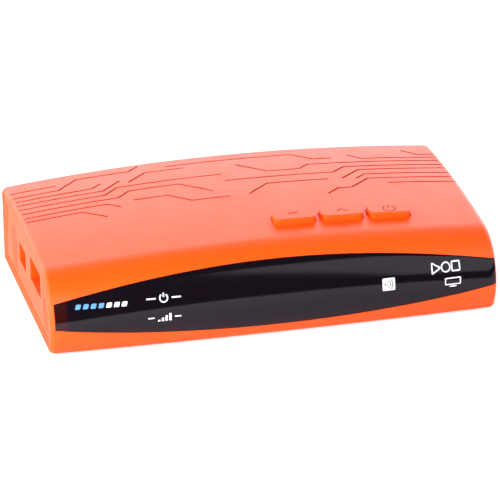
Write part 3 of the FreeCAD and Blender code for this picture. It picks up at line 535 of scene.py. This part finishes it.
def socket_material(node, name, tongue_colour, inset_low, inset_high):
    """Bright shell; the contact tongue inside it is moulded plastic."""
    g = sheet_metal(name, SHELL_STEEL, 0.28)
    low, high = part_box(node)
    tongue = g.inside(low + Vector(inset_low) * MM, high - Vector(inset_high) * MM)
    g.set("Base Color", g.mix(tongue, SHELL_STEEL, tongue_colour))
    g.set("Metallic", g.math("SUBTRACT", 1.0, tongue))
    return g.material


JACK_PIN_RADIUS = 1.4     # of the bright part, in millimetres
JACK_PIN_REACH = (9.4, 0.4)   # of its two ends behind the jack's mouth


def power_jack_material():
    """Black body, bright centre pin."""
    g = moulded("power_jack_plastic", (0.014, 0.014, 0.015), 0.5)
    low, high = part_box("power_jack")
    middle = (low + high) / 2
    reach = Vector((JACK_PIN_RADIUS * MM, 1, JACK_PIN_RADIUS * MM))
    inner, outer = JACK_PIN_REACH
    bore = g.within(1, high.y - inner * MM, high.y - outer * MM)
    pin = g.math("MULTIPLY", g.inside(middle - reach, middle + reach), bore)
    g.set("Base Color", g.mix(pin, g.base, (0.75, 0.74, 0.7)))
    g.set("Metallic", pin)
    return g.material


# Sockets with a contact tongue: node, material, the tongue's colour, and in millimetres how far
# the tongue's low and high corner lie inside the socket's box.
SHELL_STEEL = (0.62, 0.62, 0.64)
TONGUES = (
    ("usb_socket_rear", "usb_rear_steel", (0.5, 0.5, 0.48), (1.0, 1.3, 2.0), (0.8, 1.3, 1.2)),
    ("usb_socket_front", "usb_front_steel", (0.5, 0.5, 0.48), (1.0, 1.3, 4.5), (0.8, 1.3, 1.2)),
    ("hdmi_socket", "hdmi_steel", (0.015, 0.015, 0.016), (1.7, 0.8, 1.8), (1.7, 1.5, 1.2)),
)


def give(names, material):
    """Puts one material on whole CAD nodes."""
    for name in names:
        mesh = NODES[name].data
        mesh.materials.clear()
        mesh.materials.append(material)


def dress_cad():
    """Finishes of all the CAD nodes that stay as they are."""
    give(["top_cover"], cover_plastic())
    tray = moulded("tray_plastic", tinted(ORANGE, 0.98), 0.5)
    tray.set("Specular IOR Level", 0.2)
    give(["bottom_tray"], tray.material)
    give(["key_minus", "key_up", "key_power"], moulded("key_plastic", ORANGE, 0.38).material)
    give(["feet"], rubber())
    give(["main_board", "front_board"], solder_mask())
    give(["cable_headers"], moulded("cream_plastic", (0.6, 0.55, 0.42), 0.5).material)
    give(["front_cable"], cable_film())
    give(["capacitors"], can_sleeve())
    give(["power_light"], diffused_resin("red_resin", (0.55, 0.02, 0.015)))
    give(["signal_light"], diffused_resin("green_resin", (0.05, 0.5, 0.06)))
    for socket in TONGUES:
        give([socket[0]], socket_material(*socket))
    give(["power_jack"], power_jack_material())
    give(["tuner_can", "tuner_lid"], sheet_metal("tin_sheet", (0.6, 0.61, 0.62), 0.34).material)
    give(["lnb_washer", "lnb_nut"], sheet_metal("nickel_plate", (0.68, 0.66, 0.61), 0.22).material)
    give(["board_screws", "crystal"], sheet_metal("zinc_plate", (0.58, 0.59, 0.6), 0.3).material)
    give(["heat_sink"], sheet_metal("heat_aluminium", (0.68, 0.69, 0.71), 0.36).material)
    give(["av_jack", "infrared_receiver", "main_chip", "memory_chips", "flash_chip", "inductors",
          "regulators", "switch_minus", "switch_up", "switch_power",
          "plunger_minus", "plunger_up", "plunger_power"],
         moulded("black_plastic", (0.015, 0.015, 0.016), 0.45, COARSE_GRAIN).material)


# --- meshes ---------------------------------------------------------------------------
def add_piece(name, made, body, materials):
    """Turns a bmesh into a piece that rides on a body."""
    bmesh.ops.recalc_face_normals(made, faces=made.faces)
    mesh = bpy.data.meshes.new(name)
    made.to_mesh(mesh)
    made.free()
    for material in materials:
        mesh.materials.append(material)
    piece = bpy.data.objects.new(name, mesh)
    bpy.context.scene.collection.objects.link(piece)
    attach(piece, body)
    return piece


def fill(made, grid, smooth=False):
    """Quads over a grid of vertices."""
    for a, b in zip(grid, grid[1:]):
        for j in range(len(a) - 1):
            made.faces.new((a[j], b[j], b[j + 1], a[j + 1])).smooth = smooth


def rim_of(grid):
    """Vertices round the edge of a grid, in order."""
    return ([line[0] for line in grid] + grid[-1][1:-1] + [line[-1] for line in grid[::-1]]
            + grid[0][-2:0:-1])


def wall(made, a, b, slot=0, smooth=False):
    """Quads between two closed loops of vertices."""
    for k in range(len(a)):
        m = (k + 1) % len(a)
        face = made.faces.new((a[k], a[m], b[m], b[k]))
        face.material_index = slot
        face.smooth = smooth


def lathe(made, rings, turns, place, slots=None, smooth=False):
    """Walls between rings. A ring is a radius, or a function of the angle, and a place on the axis."""
    loops = []
    for radius, along in rings:
        loop = []
        for k in range(turns):
            angle = 2 * math.pi * k / turns
            reach = radius(angle) if callable(radius) else radius
            loop.append(made.verts.new(place(reach * math.cos(angle), reach * math.sin(angle), along)))
        loops.append(loop)
    for index, (a, b) in enumerate(zip(loops, loops[1:])):
        wall(made, a, b, slots[index] if slots else 0, smooth)
    return loops


# --- front window ---------------------------------------------------------------------
# Sizes in millimetres, and the number of faces of its grid.
WINDOW_THICKNESS = 1.5
WINDOW_CHAMFER = 0.12
TOP_EDGE_DROP = 8.75      # of the window's upper edge from its middle to its ends
LOW_EDGE_RISE = 6.6       # and of its lower edge
WINDOW_COLUMNS = 150
WINDOW_ROWS = 26
WINDOW_CREASE = math.radians(25)   # edges that turn further than this are sharp


def fall(x, drop, half=HALF_WIDTH):
    """Drop of an arc at a distance from its middle, given its drop at the ends."""
    radius = (half ** 2 + drop ** 2) / (2 * drop)
    return radius - math.sqrt(max(0.0, radius ** 2 - x ** 2))


def brow_and_nose(x):
    """Centres of the brow arc and of the nose arc in the section at a place across the front."""
    top = Vector((CROWN_Y, CROWN_Z - fall(x, CROWN_DROP) - TOP_RADIUS))
    nose = Vector((FRONT_Y + NOSE_RADIUS + fall(x, FRONT_BOW), NOSE_Z))
    line = nose - top
    reach_top, reach_nose = TOP_RADIUS - BROW_RADIUS, NOSE_RADIUS - BROW_RADIUS
    along = (reach_top ** 2 - reach_nose ** 2 + line.length ** 2) / (2 * line.length)
    across = math.sqrt(reach_top ** 2 - along ** 2)
    line.normalize()
    side = Vector((-line.y, line.x))
    brow = max((top + line * along + side * across, top + line * along - side * across),
               key=lambda centre: centre.y - centre.x)
    return brow, nose


def face_y(x, z, inset=0.0):
    """Depth of the front face at a place in the front view."""
    brow, nose = brow_and_nose(x)
    centre, radius = nose, NOSE_RADIUS
    if z > (nose + (brow - nose).normalized() * NOSE_RADIUS).y:
        centre, radius = brow, BROW_RADIUS
    past = max(0.0, abs(x) - HALF_WIDTH + CORNER_RADIUS)
    corner = CORNER_RADIUS - math.sqrt(CORNER_RADIUS ** 2 - past ** 2)
    return centre.x - math.sqrt((radius - inset) ** 2 - (z - centre.y) ** 2) + corner


def window_box():
    """Lowest and highest corner of the window."""
    return [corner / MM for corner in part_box("front_window")]


def window_edges(x, shrink):
    """Heights of the window's lower and upper edge."""
    low, high = window_box()
    middle, half = (low.x + high.x) / 2, (high.x - low.x) / 2
    upper = high.z - fall(x - middle, TOP_EDGE_DROP, half) - shrink
    lower = low.z + fall(x - middle, LOW_EDGE_RISE, half) + shrink
    return lower, upper


def lens_side(made, shrink, inset):
    """One curved side of the lens; returns the vertices round it."""
    low, high = window_box()
    grid = []
    for i in range(WINDOW_COLUMNS + 1):
        x = low.x + shrink + (high.x - low.x - 2 * shrink) * i / WINDOW_COLUMNS
        lower, upper = window_edges(x, shrink)
        heights = [lower + (upper - lower) * j / WINDOW_ROWS for j in range(WINDOW_ROWS + 1)]
        grid.append([made.verts.new(Vector((x, face_y(x, z, inset), z)) * MM) for z in heights])
    fill(made, grid, True)
    return rim_of(grid)


def front_window():
    """The curved lens as a fine grid over the front face, chamfered round its edge."""
    made = bmesh.new()
    front = lens_side(made, WINDOW_CHAMFER, 0.0)
    rear = lens_side(made, 0.0, WINDOW_THICKNESS)
    bend = []
    for vertex in rear:
        x, z = vertex.co.x / MM, vertex.co.z / MM
        bend.append(made.verts.new(Vector((x, face_y(x, z) + WINDOW_CHAMFER, z)) * MM))
    wall(made, front, bend)
    wall(made, bend, rear)
    piece = add_piece("smoked_window", made, HOUSING, [smoked_acrylic()])
    piece.data.set_sharp_from_angle(angle=WINDOW_CREASE)
    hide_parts("front_window")
    return piece


# --- printed marks --------------------------------------------------------------------
# A mark is a list of patches. A patch is a grid of points across and along a stroke, in
# millimetres of the mark's own flat sheet.
STEP = 0.4                # length of the pieces that strokes are divided into
ARC_FINENESS = 1.5        # pieces of an arc for each such length
ARC_PIECES = 8            # fewest pieces of an arc
MITRE_LIMIT = 0.5
LIFT = 0.03 * MM          # of a mark above its surface
SINK = 0.04 * MM          # of its underside below it
CAST_FROM = 100 * MM      # how far off the surface a ray starts
WINDOW_LINE = 0.5         # width of most lines on the window


def stroke(points, width, closed=False):
    """Strip of the given width along a polyline, with mitred corners."""
    count = len(points)
    rows = []
    for i, (x, y) in enumerate(points):
        before = points[i - 1] if closed or i > 0 else None
        after = points[(i + 1) % count] if closed or i < count - 1 else None
        ways = []
        if before:
            ways.append(Vector((x - before[0], y - before[1])).normalized())
        if after:
            ways.append(Vector((after[0] - x, after[1] - y)).normalized())
        along = sum(ways, Vector((0, 0))).normalized()
        across = Vector((-along.y, along.x)) * (width / 2 / max(MITRE_LIMIT, along.dot(ways[0])))
        rows.append([(x - across.x, y - across.y), (x, y), (x + across.x, y + across.y)])
    if closed:
        rows.append(rows[0])
    return rows


def bar(x0, y0, x1, y1, width):
    """Straight stroke, divided so that it follows a curved surface."""
    length = math.hypot(x1 - x0, y1 - y0)
    count = max(1, round(length / STEP))
    return stroke([(x0 + (x1 - x0) * i / count, y0 + (y1 - y0) * i / count) for i in range(count + 1)], width)


def arc(x, y, radius, start, end, width):
    """Stroke along a circle between two angles in degrees; a full turn closes."""
    full = abs(end - start) >= 360
    count = max(ARC_PIECES, round(math.radians(abs(end - start)) * radius / STEP * ARC_FINENESS))
    turns = [math.radians(start + (end - start) * i / count) for i in range(count if full else count + 1)]
    return stroke([(x + radius * math.cos(t), y + radius * math.sin(t)) for t in turns], width, full)


def outline(corners, width):
    """Straight-sided closed frame."""
    return [bar(*a, *b, width) for a, b in zip(corners, corners[1:] + corners[:1])]


def oblong(x0, y0, x1, y1, width):
    """Frame with right angles between two opposite corners."""
    return outline([(x0, y0), (x1, y0), (x1, y1), (x0, y1)], width)


def panel(x, y, width, height, corner, slant=0.0):
    """Filled rectangle with rounded corners, which can lean like italic type."""
    rows = []
    count = round(width / STEP * 2)
    levels = max(2, 2 * round(height / STEP / 2))
    for i in range(count + 1):
        u = -width / 2 + width * i / count
        into = max(0.0, abs(u) - (width / 2 - corner))
        half = height / 2 - corner + math.sqrt(max(0.0, corner ** 2 - into ** 2))
        steps = [half * (2 * j / levels - 1) for j in range(levels + 1)]
        rows.append([(x + u + slant * v, y + v) for v in steps])
    return rows


def mark(name, patches, mesh, centre, along, body, material, lift=LIFT):
    """Thin closed plates laid on a surface, cast onto it along a direction."""
    tree = BVHTree.FromPolygons([v.co for v in mesh.vertices], [p.vertices for p in mesh.polygons])
    along = Vector(along)
    start = Vector(centre) - along * CAST_FROM
    made = bmesh.new()
    for rows in patches:
        hits = []
        for row in rows:
            flat = [Vector((u, 0, v)) if along.y else Vector((u, v, 0)) for u, v in row]
            hits.append([tree.ray_cast(start + point * MM, along)[0] for point in flat])
        upper = [[made.verts.new(hit - along * lift) for hit in row] for row in hits]
        lower = [[made.verts.new(hit + along * SINK) for hit in row] for row in hits]
        fill(made, upper)
        fill(made, lower)
        wall(made, rim_of(upper), rim_of(lower))
    add_piece(name, made, body, [material])


def print_ink(name, colour, gloss=0.5):
    """Screen-printed ink, a little uneven."""
    g = Finish(name, colour, 0.45)
    g.set("Specular IOR Level", gloss)
    g.drift(0.94, 1.0, 500)
    g.bump(g.noise(3000, 2), 0.2, GRAIN_DEPTH)
    return g.material


def power_symbol(size, width):
    """Open ring with an upright dash in its gap."""
    return [arc(0, 0, size / 2, 125, 415, width), bar(0, size * 0.12, 0, size * 0.62, width)]


def signal_symbol():
    """Four upright bars, each taller than the one before."""
    return [bar(-2.1 + 1.4 * i, -1.5, -2.1 + 1.4 * i, -0.9 + 0.8 * i, 0.85) for i in range(4)]


def wave_symbol():
    """Three arcs that spread from a dot."""
    waves = [arc(-1.4, 0, radius, -42, 42, 0.34) for radius in (1.1, 2.0, 2.9)]
    return waves + [panel(-1.4, 0, 0.8, 0.8, 0.39)]


def slanted_bars():
    """Seven leaning bars in a row."""
    return [panel(-8.6 + 2.85 * i, 0, 1.9, 1.7, 0.25, 0.35) for i in range(7)]


def screen_symbol():
    """Frame of a screen and the line of its stand."""
    return oblong(-2.9, -1.1, 2.9, 1.3, 0.45) + [bar(-1.3, -1.9, 1.3, -1.9, 0.4)]


def wings(near, far):
    """A short level line at each side of a symbol."""
    return [bar(side * near, 0, side * far, 0, WINDOW_LINE) for side in (-1, 1)]


# Places of the marks in the front view: across and height, in millimetres of the frame.
POWER_MARK = (-42.7, 21.1)
SIGNAL_MARK = (-42.6, 13.7)
RECEIVER_MARK = (42.5, 17.3)
STRIPE_MARK = (-65.8, 20.2)
PLAY_MARK = (61.0, 21.0)
RING_MARK = (64.9, 21.0)
SQUARE_MARK = (68.8, 21.0)
SCREEN_MARK = (67.4, 15.5)
BLUE_BARS = 4             # of the leaning bars, from the left


def window_marks(window):
    """Light symbols, a row of leaning bars, the receiver's plate and four plain shapes on the lens."""
    white = print_ink("white_ink", (0.86, 0.86, 0.88))
    blue = print_ink("blue_ink", (0.08, 0.27, 0.62))
    dark = print_ink("dark_ink", (0.05, 0.055, 0.06))
    slanted = slanted_bars()
    play = outline([(-1.5, -1.9), (1.8, 0.0), (-1.5, 1.9)], WINDOW_LINE)
    ring = [arc(0, 0, 1.65, 0, 360, WINDOW_LINE)]
    marks = (
        ("power_mark", power_symbol(2.9, WINDOW_LINE) + wings(3.0, 6.4), POWER_MARK, white, LIFT),
        ("signal_mark", signal_symbol() + wings(3.8, 6.2), SIGNAL_MARK, white, LIFT),
        ("receiver_plate", [panel(0, 0, 4.8, 4.8, 0.3)], RECEIVER_MARK, white, LIFT),
        ("receiver_waves", wave_symbol(), RECEIVER_MARK, dark, 3 * LIFT),
        ("stripe_blue", slanted[:BLUE_BARS], STRIPE_MARK, blue, LIFT),
        ("stripe_white", slanted[BLUE_BARS:], STRIPE_MARK, white, LIFT),
        ("play_mark", play, PLAY_MARK, white, LIFT),
        ("ring_mark", ring, RING_MARK, white, LIFT),
        ("square_mark", oblong(-1.5, -1.6, 1.5, 1.6, WINDOW_LINE), SQUARE_MARK, white, LIFT),
        ("screen_mark", screen_symbol(), SCREEN_MARK, white, LIFT),
    )
    for name, patches, (x, z), ink, lift in marks:
        mark(name, patches, window.data, Vector((x, 0, z)) * MM, (0, 1, 0), HOUSING, ink, lift)


def key_marks():
    """Fine dark symbols on the keys: a dash, a caret and the power symbol."""
    ink = print_ink("key_ink", (0.5, 0.03, 0.004), 0.1)
    # Each symbol with its shift to the rear of the key's middle.
    symbols = {
        "minus": (0.4, [bar(-2.0, 0, 2.0, 0, 1.0)]),
        "up": (0.0, [bar(-1.9, -1.3, 0, 0.9, 0.7), bar(0, 0.9, 1.9, -1.3, 0.7)]),
        "power": (-1.0, power_symbol(4.6, 0.65)),
    }
    for name, (shift, patches) in symbols.items():
        low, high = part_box("key_" + name)
        centre = (low + high) / 2
        mark(name + "_symbol", patches, NODES["key_" + name].data, (centre.x, centre.y + shift * MM, high.z),
             (0, 0, -1), name + "_key", ink)


# --- threads and screws, in millimetres -----------------------------------------------
RINGS_PER_TURN = 10
FLANK_STEEPNESS = 2.4
FLANK_START = 0.7         # flat stretch between the crests

# Aerial socket: barrel behind its nut, thread, and the steps of its mouth, each as a radius and a
# depth under the tip.
BARREL_SIDES = 72
BARREL_RADIUS = 4.3
THREAD_FOOT_RADIUS = 4.28
THREAD_PITCH = 25.4 / 32
BARREL_MOUTH = ((4.15, 0.12), (4.0, 0.0), (3.35, 0.0), (3.2, 0.15), (3.2, 1.2))
INSULATOR = ((3.1, 1.25), (1.1, 1.1))
CONTACT = ((0.95, 1.0), (0.6, 1.0), (0.5, 1.2), (0.45, 4.0))

# Case screws. The face of the head is rounded: share of its radius, and height above the face.
SCREW_SIDES = 36
HEAD_RADIUS = 2.6
HEAD_HEIGHT = 1.6
HEAD_ROUNDING = ((0.84, 0.0), (0.95, 0.14), (1.0, 0.4))
SHANK_RADIUS = 1.2
SHANK_FOOT_RADIUS = 0.95
SCREW_PITCH = 1.1
POINT_LENGTH = 1.2
POINT_RADIUS = 0.25
CROSS_ARM = 1.5
CROSS_WIDTH = 0.62
CROSS_DEPTH = 0.9
CROSS_TAPER = 0.8         # size of its floor over the size of its mouth


def thread_rings(start, end, minor, major, pitch, taper):
    """Rings of a single-start thread between two places, running out at its far end."""
    rings = []
    count = round(abs(end - start) / pitch * RINGS_PER_TURN)
    for i in range(count + 1):
        along = start + (end - start) * i / count
        room = min(1.0, abs(end - along) / taper)

        def radius(angle, along=along, room=room):
            phase = (along / pitch - angle / (2 * math.pi)) % 1.0
            crest = min(1.0, max(0.0, FLANK_STEEPNESS * (1 - abs(2 * phase - 1)) - FLANK_START))
            return minor + (major - minor) * crest * room
        rings.append((radius, along))
    return rings


def aerial_socket():
    """Threaded barrel with its insulator and the hole of its spring contact."""
    low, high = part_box("lnb_socket")
    x, z = (low.x + high.x) / 2, (low.z + high.z) / 2
    tip = high.y
    nut_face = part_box("lnb_nut")[1].y
    thread = thread_rings(nut_face + 0.1 * MM, tip - 0.5 * MM, THREAD_FOOT_RADIUS * MM,
                          (high.x - low.x) / 2, THREAD_PITCH * MM, 0.6 * MM)
    mouth, insulator, contact = (
        [(radius * MM, tip - depth * MM) for radius, depth in steps]
        for steps in (BARREL_MOUTH, INSULATOR, CONTACT)
    )
    barrel = [(BARREL_RADIUS * MM, low.y), (BARREL_RADIUS * MM, nut_face)] + thread + mouth
    # A wall takes the material of the ring that it leads to.
    slots = ([0] * len(barrel) + [1] * len(insulator) + [2] * len(contact))[1:]
    made = bmesh.new()
    loops = lathe(made, barrel + insulator + contact, BARREL_SIDES, lambda a, b, along: (x + a, along, z + b),
                  slots, True)
    for end in (0, -1):
        cap = made.faces.new(loops[end])
        cap.material_index = slots[end]
        cap.smooth = True
    nickel = sheet_metal("barrel_nickel", (0.7, 0.68, 0.62), 0.2).material
    white = moulded("insulator", (0.75, 0.74, 0.7), 0.4).material
    brass = sheet_metal("contact_brass", (0.75, 0.53, 0.22), 0.25).material
    piece = add_piece("aerial_barrel", made, HOUSING, [nickel, white, brass])
    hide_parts("lnb_socket")


def cross_outline(arm, width):
    """Outline of a cross, counter-clockwise, twelve points."""
    h = width / 2
    quarter = [(arm, -h), (arm, h), (h, h)]
    points = []
    for turn in range(4):
        c, s = round(math.cos(turn * math.pi / 2)), round(math.sin(turn * math.pi / 2))
        points += [(c * x - s * y, s * x + c * y) for x, y in quarter]
    return points


def head_face(made, rim, cross):
    """Face between a round rim and the cross inside it, one quarter after another."""
    quarter = len(rim) // 4
    for turn in range(4):
        arm_start, arm_end, notch, next_arm = (cross[(3 * turn + i) % len(cross)] for i in range(4))
        start = turn * quarter
        made.faces.new((rim[start], arm_end, arm_start))
        nearest = [arm_end] * 2 + [notch] * (quarter - 3) + [next_arm]
        for k, (corner, coming) in enumerate(zip(nearest, nearest[1:] + [next_arm])):
            beyond = rim[(start + k + 1) % len(rim)]
            made.faces.new((rim[start + k], beyond, corner))
            if coming != corner:
                made.faces.new((beyond, coming, corner))


def case_screw(made, x, y, under, tip):
    """Pan head with a cross recess, facing down, and a threaded shank with a point."""
    seat = under + HEAD_HEIGHT * MM
    rings = [(HEAD_RADIUS * share * MM, under + height * MM) for share, height in HEAD_ROUNDING]
    rings += [(HEAD_RADIUS * MM, seat), (SHANK_RADIUS * MM, seat)]
    thread = thread_rings(seat + 0.2 * MM, tip - POINT_LENGTH * MM, SHANK_FOOT_RADIUS * MM,
                          SHANK_RADIUS * MM, SCREW_PITCH * MM, 1.0 * MM)
    # Every second ring is enough for so small a thread.
    rings += thread[::2] + [(POINT_RADIUS * MM, tip)]
    loops = lathe(made, rings, SCREW_SIDES, lambda a, b, along: (x + a, y + b, along))
    made.faces.new(loops[-1])
    cross = cross_outline(CROSS_ARM * MM, CROSS_WIDTH * MM)
    mouth = [made.verts.new((x + u, y + v, under)) for u, v in cross]
    depth = under + CROSS_DEPTH * MM
    floor = [made.verts.new((x + CROSS_TAPER * u, y + CROSS_TAPER * v, depth)) for u, v in cross]
    wall(made, mouth, floor)
    made.faces.new(floor)
    head_face(made, loops[0], mouth)


def case_screws():
    """The four screws that hold the cover, one near each corner."""
    low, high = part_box("case_screws")
    made = bmesh.new()
    for x in (low.x + HEAD_RADIUS * MM, high.x - HEAD_RADIUS * MM):
        for y in (low.y + HEAD_RADIUS * MM, high.y - HEAD_RADIUS * MM):
            case_screw(made, x, y, low.z, high.z)
    zinc = sheet_metal("screw_zinc", (0.55, 0.56, 0.58), 0.3).material
    piece = add_piece("screws_with_recess", made, HOUSING, [zinc])
    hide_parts("case_screws")


# --- contacts and collar, in millimetres ----------------------------------------------
USB_UNDERSIDE = 3.4       # of the tongue below the top of its socket
USB_CONTACTS_Y = (-3.5, -1.0, 1.0, 3.5)   # across the tongue, from its middle
USB_CONTACT_INSET = 1.8   # behind the socket's mouth
USB_CONTACT_SIZE = (8.5, 1.0, 0.25)
USB_CONTACT_DROP = 0.15   # below the tongue

HDMI_HEIGHT = 5.8
HDMI_SHEET = 0.45
HDMI_TONGUE = 1.3         # its thickness
HDMI_PITCH = 1.0
HDMI_COUNTS = ((1, 10), (-1, 9))          # above and below the tongue
HDMI_CONTACT_HALF = (0.2, 0.08)           # half its width and half its thickness
HDMI_CONTACT_REACH = (8.0, 2.3)           # of both ends behind the socket's mouth

# The wide side opening: its middle and size in the side view, and the wall's inner face.
PORT_MIDDLE = (-24.9, 21.8)
PORT_SIZE = (20.5, 9.2)
PORT_WALL_X = -82.6
COLLAR_SUNK = 0.1         # into the wall
COLLAR_DEPTH = 3.0        # inwards from it
COLLAR_THICKNESS = 0.9
COLLAR_FRONT_THICKNESS = 0.45


def strips(name, boxes, material, rounding=0.3):
    """Bevelled strips, each given by its lowest and highest corner."""
    made = bmesh.new()
    for low, high in boxes:
        part = bmesh.ops.create_cube(made, size=1.0)["verts"]
        size = high - low
        bmesh.ops.scale(made, vec=size, verts=part)
        bmesh.ops.translate(made, vec=(low + high) / 2, verts=part)
        edges = list({edge for vertex in part for edge in vertex.link_edges})
        bmesh.ops.bevel(made, geom=edges, offset=min(size) * rounding, segments=2, affect="EDGES",
                        profile=0.5)
    add_piece(name, made, HOUSING, [material])


def usb_contacts(node, gold):
    """Four strips under the tongue of a USB-A socket."""
    low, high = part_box(node)
    size = Vector(USB_CONTACT_SIZE)
    first = Vector((low.x, (low.y + high.y) / 2, high.z)) / MM
    boxes = []
    for offset in USB_CONTACTS_Y:
        corner = first + Vector((USB_CONTACT_INSET, offset - size.y / 2, -USB_UNDERSIDE - USB_CONTACT_DROP))
        boxes.append((corner * MM, (corner + size) * MM))
    strips(node.replace("socket", "contacts"), boxes, gold)


def hdmi_contacts(gold):
    """Fine strips above and below the tongue of the HDMI socket."""
    low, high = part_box("hdmi_socket")
    middle_x = (low.x + high.x) / 2
    middle_z = low.z + (HDMI_HEIGHT + HDMI_SHEET) / 2 * MM
    half_width, half_height = HDMI_CONTACT_HALF
    inner, outer = HDMI_CONTACT_REACH
    boxes = []
    for side, count in HDMI_COUNTS:
        for i in range(count):
            x = middle_x + (i - (count - 1) / 2) * HDMI_PITCH * MM
            place = Vector((x, high.y, middle_z + side * HDMI_TONGUE / 2 * MM))
            boxes.append((place + Vector((-half_width, -inner, -half_height)) * MM,
                          place + Vector((half_width, -outer, half_height)) * MM))
    strips("hdmi_contacts", boxes, gold)


def port_collar():
    """Moulded collar inside the side wall that leads a plug to the set-back front socket."""
    (y, z), (wide, tall) = PORT_MIDDLE, PORT_SIZE
    x0, x1 = PORT_WALL_X - COLLAR_SUNK, PORT_WALL_X + COLLAR_DEPTH
    front, rear = y - wide / 2, y + wide / 2
    foot, top = z - tall / 2, z + tall / 2
    t = COLLAR_THICKNESS
    boxes = [((x0, rear, foot - t), (x1, rear + t, top + t)),
             ((x0, front - COLLAR_FRONT_THICKNESS, foot - t), (x1, front, top + t)),
             ((x0, front, top), (x1, rear, top + t)),
             ((x0, front, foot - t), (x1, rear, foot))]
    corners = [(Vector(low) * MM, Vector(high) * MM) for low, high in boxes]
    strips("port_collar", corners, moulded("collar_plastic", ORANGE, 0.45).material, 0.1)


make_camera()
make_world()
make_floor()
for lamp in LAMPS:
    area_light(*lamp)
dress_cad()
window_marks(front_window())
key_marks()
aerial_socket()
case_screws()
contact_gold = sheet_metal("contact_gold", (0.86, 0.62, 0.26), 0.25).material
usb_contacts("usb_socket_rear", contact_gold)
usb_contacts("usb_socket_front", contact_gold)
hdmi_contacts(contact_gold)
port_collar()

bpy.context.scene.view_settings.view_transform = "Standard"
